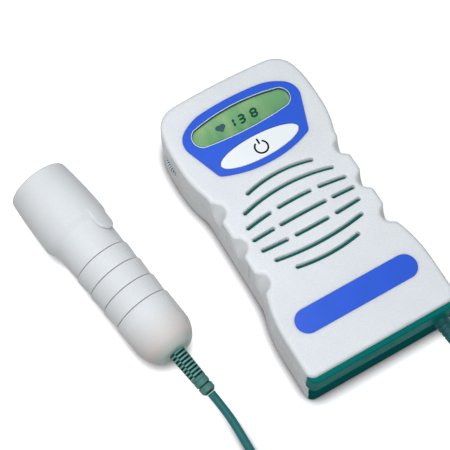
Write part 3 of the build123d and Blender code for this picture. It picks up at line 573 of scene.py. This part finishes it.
@dataclass(frozen=True)
class SoftRubber(Finish):
    """Moulded elastomer: matt, faintly dusty, with a soft sheen."""

    roughness: float = 0.55
    _: KW_ONLY
    gloss: float = 0.3
    clouds: Veil = DUST
    mottling: float = 0.22
    rub: Veil = Veil(180.0, 4.0)
    wear: Vec2 = (-0.08, 0.1)
    grain: Veil = RUBBER_GRAIN
    depth: float = 0.00002
    levels: Levels = (("Sheen Weight", 0.05),)


@dataclass(frozen=True)
class WovenCloth(Finish):
    """Plain woven acoustic cloth, with its threads along X and Y."""

    roughness: float = 0.9
    _: KW_ONLY
    threads: float = 1400.0
    stray: float = 0.6
    mottling: float = 0.55
    depth: float = 0.0001

    def paint(self, graph: ShaderGraph) -> None:
        """Colour and raise the threads.

        Args:
            graph: The material under way.
        """
        looks = {"Vector": graph.place, "Scale": self.threads, "Distortion": self.stray}
        runs = (graph.add("ShaderNodeTexWave", looks, bands_direction=way).outputs["Fac"] for way in "XY")
        weave = graph.calc("MULTIPLY", *runs)
        graph.feed("Base Color", graph.shade(graph.ramp(weave, 0.0, 1.0, 1.0, 0.0), self.tint, self.mottling))
        graph.bump(weave, self.depth)


@dataclass(frozen=True)
class DrawnMetal(Finish):
    """Pressed or drawn metal with fine marks along one way."""

    roughness: float = 0.32
    _: KW_ONLY
    clouds: Veil = Veil(420.0, 5.0, 0.3, 0.8, (1.0, 14.0, 14.0))
    mottling: float = 0.2
    rub: Veil = Veil(420.0, 5.0, 0.3, 0.7, (1.0, 14.0, 14.0))
    wear: Vec2 = (-0.1, 0.12)
    grain: Veil = rub
    depth: float = 0.00001
    levels: Levels = (("Metallic", 1.0),)


@dataclass(frozen=True)
class CircuitBoard(Finish):
    """Green solder mask over copper traces."""

    tint: Tint = Tint.BOARD
    roughness: float = 0.35
    _: KW_ONLY
    cells: float = 210.0
    stray: float = 0.35
    trace: Vec2 = (0.02, 0.06)
    depth: float = 0.00004
    levels: Levels = (("Coat Weight", 0.4),)

    def paint(self, graph: ShaderGraph) -> None:
        """Colour and raise the traces.

        Args:
            graph: The material under way.
        """
        looks = {"Vector": graph.place, "Scale": self.cells, "Randomness": self.stray}
        cells = graph.add("ShaderNodeTexVoronoi", looks, distance="CHEBYCHEV", feature="DISTANCE_TO_EDGE")
        lines = graph.ramp(cells.outputs["Distance"], *self.trace, 1.0, 0.0)
        graph.feed("Base Color", graph.blend(lines, self.tint, Tint.TRACE))
        graph.bump(lines, self.depth)


@dataclass(frozen=True)
class PressedPaper(Finish):
    """Loudspeaker cone paper with concentric ribs about the speaker's centre."""

    centre: Vec3
    _: KW_ONLY
    ribs: float = 90.0
    mottling: float = 0.3
    depth: float = 0.0001

    def paint(self, graph: ShaderGraph) -> None:
        """Colour and raise the ribs.

        Args:
            graph: The material under way.
        """
        shift = metres(tuple(-value for value in self.centre))
        centred = graph.add("ShaderNodeMapping", {"Vector": graph.place, "Location": shift}).outputs[0]
        looks = {"Vector": centred, "Scale": self.ribs}
        rings = graph.add("ShaderNodeTexWave", looks, wave_type="RINGS", rings_direction="Z").outputs["Fac"]
        graph.feed("Base Color", graph.shade(rings, self.tint, self.mottling))
        graph.bump(rings, self.depth)


@dataclass(frozen=True)
class CellJacket(Finish):
    """The printed jacket of an AA cell: a dark body with a metallic band at its positive end."""

    band_x: float
    heading: int
    _: KW_ONLY
    soft_edge: float = 0.1
    rub: Veil = Veil(500.0)
    wear: Vec2 = (-0.08, 0.06)
    levels: Levels = (("Metallic", 0.6),)

    def paint(self, graph: ShaderGraph) -> None:
        """Colour the body and the band.

        Args:
            graph: The material under way.
        """
        along = graph.add("ShaderNodeSeparateXYZ", {0: graph.place}).outputs["X"]
        low, high = ((self.band_x + soft) * self.heading * MM for soft in (-self.soft_edge, self.soft_edge))
        graph.feed("Base Color", graph.blend(graph.ramp(along, low, high), self.tint, Tint.CELL_BAND))


@dataclass(frozen=True)
class CastSolid(Finish):
    """Ceramic, ferrite or cast resin: an even body with fine grit."""

    roughness: float = 0.6
    grit: float = 1500.0
    _: KW_ONLY
    limits: Vec2 = (0.35, 0.7)
    mottling: float = 0.18
    depth: float = 0.00003

    def paint(self, graph: ShaderGraph) -> None:
        """Colour and raise the grit.

        Args:
            graph: The material under way.
        """
        specks = graph.noise(Veil(self.grit, 4.0))
        graph.feed("Base Color", graph.shade(graph.ramp(specks, *self.limits), self.tint, self.mottling))
        graph.bump(specks, self.depth)


@dataclass(frozen=True)
class LcdInk(Finish):
    """The dark state of a display segment, a little uneven at its edge."""

    roughness: float = 0.6
    _: KW_ONLY
    gloss: float = 0.05
    clouds: Veil = Veil(700.0, 3.0, 0.0, 1.0)
    mottling: float = 0.15


def dress(frame: dict, finishes: dict[Finish, list[str]]) -> None:
    """Make each finish and give it to its CAD nodes.

    Args:
        finishes: Finish to node names.
    """
    for finish, nodes in finishes.items():
        material = finish.make()
        for node in nodes:
            piece = frame["nodes"][node]
            if not piece.material_slots:
                piece.data.materials.append(material)
            for material_slot in piece.material_slots:
                material_slot.material = material
            LOG.info("dressed %s in %s", node, material.name)


def add_object(name: str, data: bpy.types.ID) -> Piece:
    """Put new data in the scene.

    Args:
        name: The object's name.
        data: Its mesh, curve, camera or light.

    Returns:
        The new object, at the origin.
    """
    piece = bpy.data.objects.new(name, data)
    bpy.context.scene.collection.objects.link(piece)
    return piece


def finish_mesh(name: str, shape: Shape, material: Material, smooth: bool = False, unit: float = MM) -> Piece:
    """Turn a bmesh into an object at the origin.

    Args:
        name: The piece's name.
        shape: The bmesh, which is freed.
        material: Its finish.
        smooth: Whether its faces are smooth shaded.
        unit: The bmesh's unit in metres.

    Returns:
        The new object.
    """
    bmesh.ops.scale(shape, verts=shape.verts, vec=(unit,) * 3)
    bmesh.ops.remove_doubles(shape, verts=shape.verts, dist=WELD)
    bmesh.ops.recalc_face_normals(shape, faces=shape.faces)
    mesh = bpy.data.meshes.new(name)
    shape.to_mesh(mesh)
    shape.free()
    for face in mesh.polygons:
        face.use_smooth = smooth
    mesh.materials.append(material)
    return add_object(name, mesh)


def lift(shape: Shape, raised: dict, height: float) -> None:
    """Move the corners that an extrusion made up along Z."""
    tops = [item for item in raised["geom"] if isinstance(item, bmesh.types.BMVert)]
    bmesh.ops.translate(shape, verts=tops, vec=(0, 0, height))


def seen_rays(tree: bpy.types.NodeTree) -> Socket:
    """Tell the rays that show a surround from those that light the object by it.

    Args:
        tree: The node tree that takes the nodes.

    Returns:
        The socket that is 1 for camera, glossy and transmission rays.
    """
    path = tree.nodes.new("ShaderNodeLightPath")
    seen = path.outputs["Is Camera Ray"]
    for kind in ("Is Glossy Ray", "Is Transmission Ray"):
        either = tree.nodes.new("ShaderNodeMath")
        either.operation = "MAXIMUM"
        tree.links.new(seen, either.inputs[0])
        tree.links.new(path.outputs[kind], either.inputs[1])
        seen = either.outputs[0]
    return seen


@dataclass
class UnitCase:
    """The display unit's shells, end caps, door, fittings and inner parts."""

    grille_centre: Vec3 = (0.0, -3.5, 0.0)
    cell_band_x: float = 12.0
    wheel_axis: Axis = Axis((-33.8, 59.7, 0.0), UP)
    # radii between which the wheel's painted shade gives way to its crest tint
    wheel_shade_radii: Vec2 = (8.2, 8.5)
    scatter: Levels = (
        ("Subsurface Weight", 0.7),
        ("Subsurface Radius", (1.0, 0.94, 0.9)),
        ("Subsurface Scale", 0.004),
    )

    def build(self, frame: dict) -> None:
        """Dress every node of the case.
        """
        shell = {"gloss": 0.2, "speckle": 0.08, "levels": self.scatter}
        cap = {"mottling": 0.1, "gloss": 0.02, "speckle": 0.2}
        deep_cap = {"mottling": 0.1, "gloss": 0.0, "speckle": 0.25}
        wheel = (Tint.WHEEL_NOTCH_SHADE, self.wheel_axis, self.wheel_shade_radii)
        fittings = ["lcd_frame", "power_switch", "volume_potentiometer", "headphone_socket"]
        ends = ["rear_end_cap", "battery_door"]
        contacts = ["battery_springs", "contact_plates", "contact_bridge"]
        finishes = {
            MouldedPlastic("shell_white", Tint.SHELL, 0.5, **shell): ["front_shell", "rear_shell"],
            # The end caps and battery door are coloured in painted shade, dark teal in place of white plastic
            # in shade.
            MouldedPlastic("teal_plastic", Tint.END_SHADE, 0.5, **cap): ["front_end_cap"],
            MouldedPlastic("deep_end_shade_plastic", Tint.END_SHADE_DEEP, 0.5, **deep_cap): ends,
            # The wheel's notches take painted shade.
            NotchedRim("wheel_plastic", Tint.WHEEL, 0.5, *wheel): ["volume_wheel"],
            MouldedPlastic("dark_plastic", Tint.COLLAR, 0.5): fittings,
            CircuitBoard("solder_mask"): ["main_board"],
            CastSolid("chip_epoxy", Tint.EPOXY, 0.5, 2500.0): ["main_processor", "audio_amplifier"],
            DrawnMetal("zinc_steel", Tint.STEEL): ["speaker_frame", "case_screws"],
            DrawnMetal("nickel_contact", Tint.NICKEL, 0.22): contacts,
            PressedPaper("cone_paper", Tint.CONE, 0.85, self.grille_centre): ["speaker_cone"],
            CastSolid("ferrite", Tint.FERRITE): ["speaker_magnet"],
            # The cloth's teal is painted shade for the grille slots.
            WovenCloth("acoustic_cloth", Tint.CLOTH_SLOT_SHADE): ["speaker_cloth"],
            CellJacket("cell_jacket_right", Tint.CELL, 0.3, self.cell_band_x, 1): ["battery_near_display"],
            CellJacket("cell_jacket_left", Tint.CELL, 0.3, self.cell_band_x, -1): ["battery_near_foot"],
            SoftRubber("boot_rubber", Tint.BOOT): ["unit_strain_relief"],
        }
        dress(frame, finishes)


@dataclass
class Display:
    """The overlay, the window, the LCD and the characters that it shows."""

    lcd_top: float = 33.9
    lcd_foot_y: float = 50.2
    lcd_head_y: float = 69.6
    mark_rise: float = 0.02
    mark_t: float = 0.05
    digit_size: Vec2 = (4.2, 5.6)
    digit_foot_y: float = 56.1
    digit_slant: float = 0.12
    stroke: float = 1.28
    segment_gap: float = 0.02
    digits: dict[str, float] = field(default_factory=lambda: {"1": -8.3, "3": -2.2, "8": 5.2})
    heart_at: Vec2 = (-12.0, 59.1)
    heart_side: float = 3.4
    heart_squash: float = 0.86

    window_arcs: tuple[tuple[Vec2, ...], ...] = (
        ((-25.8, 64.7), (0.0, 67.9), (25.8, 64.7)),
        ((25.8, 64.7), (29.4, 59.0), (25.2, 52.9)),
        ((25.2, 52.9), (0.0, 51.1), (-25.2, 52.9)),
        ((-25.2, 52.9), (-29.4, 59.0), (-25.8, 64.7)),
    )
    # Seal bands lining the window's wall; their dark teal is painted shade.
    shade_seal_bands: tuple[Band, ...] = (
        ("window_shade_seal_low", 33.95, 34.55, 0.5),
        ("window_shade_seal_high", 35.22, 35.93, 0.14),
    )
    # A pale ring at the rim: a painted highlight of the window's edge.
    rim_highlight_band: Band = ("window_rim_highlight", 35.94, 36.02, 0.34)
    seal_clearance: float = 0.03
    window_half: float = 9.0

    SEGMENTS = {"1": "bc", "3": "abgcd", "8": "abcdefg"}

    def segment(self, shape: Shape, centre: Vec2, length: float, upright: bool) -> None:
        """Add one pointed bar of a digit.

        Args:
            shape: The bmesh that takes it.
            centre: Its centre, in millimetres.
            length: Its length from point to point.
            upright: Whether it stands along Y.
        """
        radius = self.stroke / math.sqrt(3)
        turned = Matrix.Rotation(math.pi / 2, 4, "Z")
        made = bmesh.ops.create_circle(shape, cap_ends=True, segments=6, radius=radius, matrix=turned)["verts"]
        for end in (-1, 1):
            half = [vert for vert in made if vert.co.x * end > TINY]
            bmesh.ops.translate(shape, verts=half, vec=(end * (length / 2 - radius), 0, 0))
        if upright:
            bmesh.ops.rotate(shape, verts=made, matrix=Matrix.Rotation(math.pi / 2, 3, "Z"))
        bmesh.ops.translate(shape, verts=made, vec=(*centre, 0))

    def digit(self, sign: str) -> Shape:
        """Draw one seven-segment digit with its lower left corner at the origin.

        Args:
            sign: The digit.

        Returns:
            Its flat bmesh, in millimetres.
        """
        width, height = self.digit_size
        left, right = self.stroke / 2, width - self.stroke / 2
        low, high = self.stroke / 2, height - self.stroke / 2
        across, up = right - left - self.segment_gap, (high - low) / 2 - self.segment_gap
        centre, middle, quarter = width / 2, height / 2, (high - low) / 4
        upper, lower = middle + quarter, middle - quarter
        flat = {"a": (centre, high), "g": (centre, middle), "d": (centre, low)}
        upright = {"b": (right, upper), "c": (right, lower), "e": (left, lower), "f": (left, upper)}
        shape = bmesh.new()
        for key in self.SEGMENTS[sign]:
            if key in flat:
                self.segment(shape, flat[key], across, False)
            else:
                self.segment(shape, upright[key], up, True)
        for vert in shape.verts:
            vert.co.x += vert.co.y * self.digit_slant
        return shape

    def heart(self) -> Shape:
        """Draw the pulse heart about the origin.

        Returns:
            Its flat bmesh, in millimetres.
        """
        shape = bmesh.new()
        reach = self.heart_side / math.sqrt(2)
        side = shape.verts.new((reach, 0, 0))
        shape.edges.new((shape.verts.new((0, -reach, 0)), side))
        lobe = (reach / 2, reach / 2, 0)
        bmesh.ops.spin(shape, geom=[side], axis=UP, cent=lobe, angle=math.pi, steps=ARC_STEPS)
        half = shape.verts[:] + shape.edges[:]
        bmesh.ops.mirror(shape, geom=half, matrix=Matrix.Identity(4), merge_dist=MERGE, axis="X")
        bmesh.ops.remove_doubles(shape, verts=shape.verts, dist=MERGE)
        bmesh.ops.contextual_create(shape, geom=shape.edges[:])
        bmesh.ops.scale(shape, verts=shape.verts, vec=(1, self.heart_squash, 1))
        return shape

    def lay(self, name: str, shape: Shape, corner: Vec2, ink: Material) -> None:
        """Thicken a flat mark and lay it on the LCD.

        Args:
            name: The piece's name.
            shape: The flat bmesh, in millimetres.
            corner: Where its own origin goes, in millimetres.
            ink: Its finish.
        """
        bmesh.ops.translate(shape, verts=shape.verts, vec=(*corner, self.lcd_top + self.mark_rise))
        raised = bmesh.ops.extrude_face_region(shape, geom=shape.faces[:], use_keep_orig=True)
        lift(shape, raised, self.mark_t)
        piece = finish_mesh(name, shape, ink)
        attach(piece, Body.UNIT.value)
        LOG.info("laid %s", name)

    def window_edge(self, shape: Shape, z: float) -> None:
        """Spin the window's outline from its four arcs, in millimetres.

        Args:
            shape: The bmesh that takes its edges.
            z: Their height.
        """
        for start, middle, end in self.window_arcs:
            a, b, c = (Vector((*place, 0.0)) for place in (start, middle, end))
            ab, ac = b - a, c - a
            normal = ab.cross(ac)
            arm = normal.cross(ab) * ac.length_squared + ac.cross(normal) * ab.length_squared
            centre = a + arm / (2 * normal.length_squared)
            turn = (a - centre).angle(c - centre) * (1 if normal.z > 0 else -1)
            first = shape.verts.new((a.x, a.y, z))
            about = (centre.x, centre.y, z)
            bmesh.ops.spin(shape, geom=[first], axis=UP, cent=about, angle=turn, steps=ARC_STEPS)

    def line_window(self, band: Band, lining: Material) -> None:
        """Line the window's wall with a band.

        Args:
            band: The band, whose thickness is how far it reaches inwards.
            lining: Its finish.
        """
        name, low, high, thickness = band
        shape = bmesh.new()
        self.window_edge(shape, low)
        bmesh.ops.remove_doubles(shape, verts=shape.verts, dist=MERGE)
        middle = (self.lcd_foot_y + self.lcd_head_y) / 2
        shrink = 1 - self.seal_clearance / self.window_half
        bmesh.ops.translate(shape, verts=shape.verts, vec=(0, -middle, 0))
        bmesh.ops.scale(shape, verts=shape.verts, vec=(shrink, shrink, 1))
        bmesh.ops.translate(shape, verts=shape.verts, vec=(0, middle, 0))
        lift(shape, bmesh.ops.extrude_edge_only(shape, edges=shape.edges[:]), high - low)
        bmesh.ops.recalc_face_normals(shape, faces=shape.faces)
        bmesh.ops.solidify(shape, geom=shape.faces[:], thickness=thickness)
        piece = finish_mesh(name, shape, lining, smooth=True)
        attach(piece, Body.UNIT.value)
        LOG.info("lined %s", name)

    def build(self, frame: dict) -> None:
        """Dress the display's nodes and lay its marks.
        """
        finishes = {
            PrintedOverlay("blue_overlay", Tint.OVERLAY): ["display_panel", "name_plate"],
            ClearLens("clear_lens"): ["display_window"],
            LcdPanel("lcd_green", Tint.LCD, 0.3, self.lcd_foot_y, self.lcd_head_y): ["lcd_glass"],
        }
        dress(frame, finishes)
        ink = LcdInk("lcd_ink", Tint.INK).make()
        for sign, left in self.digits.items():
            self.lay(f"digit_{sign}", self.digit(sign), (left, self.digit_foot_y), ink)
        self.lay("pulse_heart", self.heart(), self.heart_at, LcdInk("heart_ink", Tint.HEART).make())
        # The seal bands' dark teal is painted shade on the window's wall.
        lining = SoftRubber("shade_seal_foam", Tint.WALL_SHADE_SEAL, 0.7, gloss=0.0).make()
        for band in self.shade_seal_bands:
            self.line_window(band, lining)
        # The pale rim ring is a painted highlight.
        self.line_window(self.rim_highlight_band, MouldedPlastic("rim_highlight_silver", Tint.RIM_HIGHLIGHT, 0.4).make())


@dataclass
class PowerButton:
    """The oval power button and the symbol printed on it."""

    top: float = 36.25
    symbol_at: Vec2 = (0.33, 38.65)
    symbol_r: float = 3.55
    stroke: float = 1.0
    opening: float = 62.0
    bar: Vec2 = (40.6, 43.95)
    print_t: float = 0.03

    def ring(self) -> Shape:
        """Spin the open ring of the power symbol.

        Returns:
            Its bmesh, in millimetres.
        """
        shape = bmesh.new()
        section = bmesh.ops.create_grid(shape, x_segments=1, y_segments=1, size=1 / 2)["verts"]
        bmesh.ops.scale(shape, verts=section, vec=(self.stroke, self.print_t, 1))
        bmesh.ops.rotate(shape, verts=section, matrix=Matrix.Rotation(math.pi / 2, 3, "X"))
        bmesh.ops.translate(shape, verts=section, vec=(self.symbol_r, 0, self.top + self.print_t / 2))
        start = math.radians(90 + self.opening / 2)
        bmesh.ops.rotate(shape, verts=section, matrix=Matrix.Rotation(start, 3, "Z"))
        swept = math.radians(360 - self.opening)
        bmesh.ops.spin(shape, geom=shape.faces[:], axis=UP, cent=(0, 0, 0), angle=swept, steps=RING_STEPS)
        bmesh.ops.translate(shape, verts=shape.verts, vec=(*self.symbol_at, 0))
        return shape

    def add_bar(self, shape: Shape) -> None:
        """Add the upright bar of the power symbol.

        Args:
            shape: The bmesh that takes it, in millimetres.
        """
        low, high = self.bar
        made = bmesh.ops.create_cube(shape, size=1.0)["verts"]
        bmesh.ops.scale(shape, verts=made, vec=(self.stroke, high - low, self.print_t))
        middle = (self.symbol_at[0], (low + high) / 2, self.top + self.print_t / 2)
        bmesh.ops.translate(shape, verts=made, vec=middle)

    def build(self, frame: dict) -> None:
        """Dress the button and print its symbol.
        """
        dress(frame, {MouldedPlastic("button_white", Tint.BUTTON, 0.36, mottling=0.03): ["power_button"]})
        shape = self.ring()
        self.add_bar(shape)
        piece = finish_mesh("power_symbol", shape, LcdInk("symbol_ink", Tint.SYMBOL).make())
        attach(piece, Body.BUTTON.value)
        LOG.info("printed power_symbol")


@dataclass
class Probe:
    """The ultrasound probe's shells, head, relief and inner parts."""

    axis: Axis = Axis((-98.75, 26.4, 17.66), (-0.1573, 0.9867, 0.0393))
    first_ring: float = 4.1
    ring_pitch: float = 11.1
    relief_axis: Axis = Axis((-89.69, -30.44, 15.4), (0.1884, -0.9625, -0.1951))
    relief_shade_radii: Vec2 = (3.4, 3.9)
    first_slot: float = 1.045
    slot_pitch: float = 2.055
    slot_rows: tuple[Vec3, Vec3] = ((0.2738, -0.1393, 0.9516), (0.9432, 0.2327, -0.2373))
    # Painted shade round the tail: teal, as reflected from the sleeve, near its root, and warm further off.
    tail_shades: tuple[TailShade, ...] = (
        (5.0, 15.0, (0.5, 0.84, 0.78)),
        (13.0, 27.0, (0.88, 0.79, 0.74)),
    )

    def build(self, frame: dict) -> None:
        """Dress every node of the probe.
        """
        shell = {"gloss": 0.2, "speckle": 0.05}
        grip = {"axis": self.axis, "first": self.first_ring, "pitch": self.ring_pitch}
        tail_shaded = {"tail_shades": self.tail_shades, "tail_shade_at": self.relief_axis.centre}
        ringed = RingedPlastic("grip_white", Tint.PROBE, 0.5, **shell, **grip, **tail_shaded)
        sleeve = (Tint.RIB_SLOT_SHADE, self.relief_axis, self.relief_shade_radii)
        slots = {"first": self.first_slot, "pitch": self.slot_pitch, "rows": self.slot_rows}
        finishes = {
            MouldedPlastic("probe_white", Tint.PROBE, 0.5, **shell): ["probe_head"],
            ringed: ["probe_upper_shell", "probe_lower_shell"],
            CastSolid("membrane_resin", Tint.RESIN, 0.3, 600.0): ["probe_membrane"],
            CastSolid("silvered_ceramic", Tint.CRYSTAL, 0.35): ["piezo_transmitter", "piezo_receiver"],
            CastSolid("backing_resin", Tint.BACKING, 0.8): ["transducer_backing"],
            CircuitBoard("probe_solder_mask"): ["probe_board"],
            # The relief's slots and core take painted shade.
            SlottedSleeve("relief_rubber", Tint.RIB, 0.5, *sleeve, **slots): ["probe_strain_relief"],
        }
        dress(frame, finishes)


@dataclass
class Cord:
    """The one free cord, from the unit's boot to the probe's strain relief, with its spare length coiled."""

    diameter: float = 4.5
    length: float = 0.9
    coil_centre: Vec2 = (-55.0, -154.0)
    points_per_turn: int = 24
    floor_z: float = 2.3
    top_z: float = 6.8
    radius_steps: tuple[Vec2, ...] = (
        (180.0, 29.5), (485.0, 29.5), (515.0, 25.0), (845.0, 25.0), (875.0, 20.5),
        (1205.0, 20.5), (1235.0, 22.75), (1565.0, 22.75), (1595.0, 27.25), (1730.0, 27.25),
    )
    climb: Vec2 = (1110.0, 1200.0)
    probe_lead: tuple[Vec3, ...] = (
        (-84.69, -55.94, 10.22), (-82.21, -68.65, 7.65), (-81.6, -82.0, 4.3), (-81.4, -97.0, 2.5),
        (-83.6, -113.0, 2.3), (-85.4, -131.0, 2.3), (-84.6, -145.5, 2.3),
    )
    unit_lead: tuple[Vec3, ...] = (
        (-33.0, -175.0, 6.9), (-19.5, -171.5, 4.6), (-4.5, -169.3, 2.6), (12.0, -168.4, 2.3),
        (28.3, -167.6, 2.3), (39.2, -161.1, 2.3), (45.5, -150.1, 2.3), (45.8, -137.4, 4.3),
        (41.2, -126.0, 9.4), (36.4, -115.5, 15.0), (34.0, -105.0, 18.0), (34.0, -95.75, 18.0),
    )
    curve_steps: int = 8
    bevel_steps: int = 6
    order: int = 3
    bend_start: Vec3 = (-52.9, -111.4, 10.2)
    bend_end: Vec3 = (-84.7, -56.3, 10.2)

    def step_value(self, angle: float) -> float:
        """Give the coil's radius at an angle, eased between its steps.

        Args:
            angle: Degrees round the coil.

        Returns:
            The radius in millimetres.
        """
        for (a0, r0), (a1, r1) in zip(self.radius_steps, self.radius_steps[1:]):
            if a0 <= angle <= a1:
                share = (angle - a0) / (a1 - a0)
                return r0 + (r1 - r0) * ease(share)
        return self.radius_steps[-1][1]

    def coil(self) -> list[Vec3]:
        """Place the coil's control points.

        Returns:
            Points in millimetres, from the probe's lead to the unit's.
        """
        step = 360 / self.points_per_turn
        swell = 1 / (0.5 + 0.5 * math.cos(math.radians(step / 2)) ** 2)
        start, end = self.radius_steps[0][0], self.radius_steps[-1][0]
        count = int((end - start) / step)
        points = []
        for i in range(1, count + 1):
            angle = start + i * (end - start) / count
            share = min(max((angle - self.climb[0]) / (self.climb[1] - self.climb[0]), 0), 1)
            z = self.floor_z + (self.top_z - self.floor_z) * ease(share)
            r = self.step_value(angle) * swell
            turn = math.radians(angle)
            x, y = self.coil_centre
            points.append((x + r * math.cos(turn), y + r * math.sin(turn), z))
        return points

    def curve(self, name: str, bevel: float) -> Piece:
        """Draw the cord as a curve, from the unit's boot to the probe.

        Args:
            name: The curve's name.
            bevel: The tube's radius in metres, or 0 for a bare line.

        Returns:
            The curve object.
        """
        route = list(self.probe_lead) + self.coil() + list(self.unit_lead)
        data = bpy.data.curves.new(name, "CURVE")
        data.dimensions = "3D"
        data.resolution_u = self.curve_steps
        data.bevel_depth = bevel
        data.bevel_resolution = self.bevel_steps
        data.use_fill_caps = bevel > 0
        spline = data.splines.new("NURBS")
        spline.points.add(len(route) - 1)
        for point, place in zip(spline.points, reversed(route)):
            point.co = (*metres(place), 1)
        spline.order_u = self.order
        spline.use_endpoint_u = True
        return add_object(name, data)

    def mesh_of(self, curve: Piece) -> bpy.types.Mesh:
        """Read a curve's evaluated mesh and remove the curve.

        Args:
            curve: The curve object.

        Returns:
            The mesh.
        """
        bpy.context.view_layer.update()
        mesh = bpy.data.meshes.new_from_object(curve.evaluated_get(bpy.context.evaluated_depsgraph_get()))
        bpy.data.objects.remove(curve)
        return mesh

    def build(self) -> None:
        line = self.mesh_of(self.curve("cord_line", 0.0))
        path = [tuple(vert.co) for vert in line.vertices]
        length = sum((Vector(b) - Vector(a)).length for a, b in zip(path, path[1:]))
        LOG.info("cord line %.4f m, %d points", length, len(path))
        tube = self.mesh_of(self.curve("cord_tube", self.diameter * MM / 2))
        for face in tube.polygons:
            face.use_smooth = True
        tube.materials.clear()
        tube.materials.append(SoftRubber("cord_rubber", Tint.CORD, 0.5).make())
        piece = add_object("cord", tube)
        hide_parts("cord_probe_lead", "cord_coil", "cord_unit_lead")
        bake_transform(piece)
        LOG.info("laid the cord")


@dataclass
class Studio:
    """The floor, the lights, the white surround and the camera."""

    eye: Vec3 = (-0.1744, -0.2242, 0.6821)
    forward: Vec3 = (0.19447, 0.33450, -0.92211)
    up: Vec3 = (0.46331, 0.79727, 0.38692)
    lens: float = 110.54
    sensor: float = 36.0
    clip_start: float = 0.01
    floor_half: float = 3.0
    floor_roughness: float = 0.9
    floor_middle: Axis = Axis((-45.0, 0.0, 0.0), UP)
    glow_ring: Vec2 = (0.09, 0.16)
    floor_glow: Vec2 = (0.56, 0.8)
    # reach of the painted contact shadow
    contact: float = 0.008
    contact_limits: Vec2 = (0.4, 0.95)
    contact_samples: int = 12
    sky: float = 0.2
    light_tint: Vec3 = (0.91, 0.955, 1.0)
    lights: tuple[Lamp, ...] = (
        ("key", 0.69, 0.28, (-0.11, 0.06, 0.35)),
        ("fill", 3.0, 0.3, (-0.16, -0.42, 0.74)),
    )

    def camera(self) -> None:
        """Set the camera."""
        data = bpy.data.cameras.new("camera")
        data.lens = self.lens
        data.sensor_width = self.sensor
        data.clip_start = self.clip_start
        camera = add_object("camera", data)
        back = -Vector(self.forward).normalized()
        up = Vector(self.up).normalized()
        right = up.cross(back).normalized()
        up = back.cross(right)
        turn = Matrix((right, up, back)).transposed().to_4x4()
        camera.matrix_world = Matrix.Translation(self.eye) @ turn
        bpy.context.scene.camera = camera

    def floor(self) -> None:
        """Lay the pale floor, which keeps the shadows and looks white where nothing shades it, with a painted
        contact shadow close round the object.
        """
        shape = bmesh.new()
        bmesh.ops.create_grid(shape, x_segments=1, y_segments=1, size=self.floor_half)
        graph = ShaderGraph("floor_white", Tint.FLOOR, self.floor_roughness)
        seen = seen_rays(graph.tree)
        reach, count = {"Distance": self.contact}, self.contact_samples
        # Painted contact shadow: ambient occlusion darkens the floor's colour and its glow close round the
        # object.
        contact_ao = graph.add("ShaderNodeAmbientOcclusion", reach, samples=count).outputs["AO"]
        unshadowed = graph.ramp(contact_ao, *self.contact_limits)
        top = graph.blend(unshadowed, Tint.CONTACT_SHADOW, Tint.FLOOR)
        graph.feed("Base Color", graph.mix(seen, Tint.FLOOR_BOUNCE.linear(), top))
        level = graph.ramp(graph.apart(self.floor_middle), *self.glow_ring, *self.floor_glow)
        glow = graph.add("ShaderNodeEmission", {"Strength": graph.calc("MULTIPLY", level, unshadowed)})
        plain = graph.surface.outputs[0]
        extra = graph.add("ShaderNodeAddShader", {0: plain, 1: glow.outputs[0]})
        shown = graph.add("ShaderNodeMixShader", {0: seen, 1: plain, 2: extra.outputs[0]})
        graph.tree.links.new(shown.outputs[0], graph.tree.nodes["Material Output"].inputs["Surface"])
        finish_mesh("floor", shape, graph.material, unit=1.0)

    def sky_dome(self) -> None:
        """Set the white world, soft on the object and full white to the eye, in glass and in gloss."""
        world = bpy.data.worlds.new("white_room")
        world.use_nodes = True
        tree = world.node_tree
        back = tree.nodes["Background"]
        back.inputs["Color"].default_value = (1, 1, 1, 1)
        level = tree.nodes.new("ShaderNodeMapRange")
        tree.links.new(seen_rays(tree), level.inputs["Value"])
        level.inputs["To Min"].default_value = self.sky
        level.inputs["To Max"].default_value = 1.0
        tree.links.new(level.outputs[0], back.inputs["Strength"])
        bpy.context.scene.world = world

    def hang_lights(self) -> None:
        """Hang the soft lights, each with its power, size and place."""
        for name, power, size, place in self.lights:
            data = bpy.data.lights.new(name, "AREA")
            data.energy = power
            data.color = self.light_tint
            data.size = size
            lamp = add_object(name, data)
            lamp.location = place
            lamp.rotation_euler = (-Vector(place)).to_track_quat("-Z", "Y").to_euler()

    def build(self) -> None:
        """Set up everything round the object."""
        bpy.context.scene.view_settings.view_transform = "Standard"
        self.camera()
        self.floor()
        self.sky_dome()
        self.hang_lights()
        LOG.info("studio ready")


def main() -> None:
    """Load the frame and build every part of the scene."""
    logging.basicConfig(level=logging.INFO, format="%(message)s")
    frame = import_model()
    Studio().build()
    Cord().build()
    UnitCase().build(frame)
    Display().build(frame)
    PowerButton().build(frame)
    Probe().build(frame)


if __name__ == "__main__":
    main()
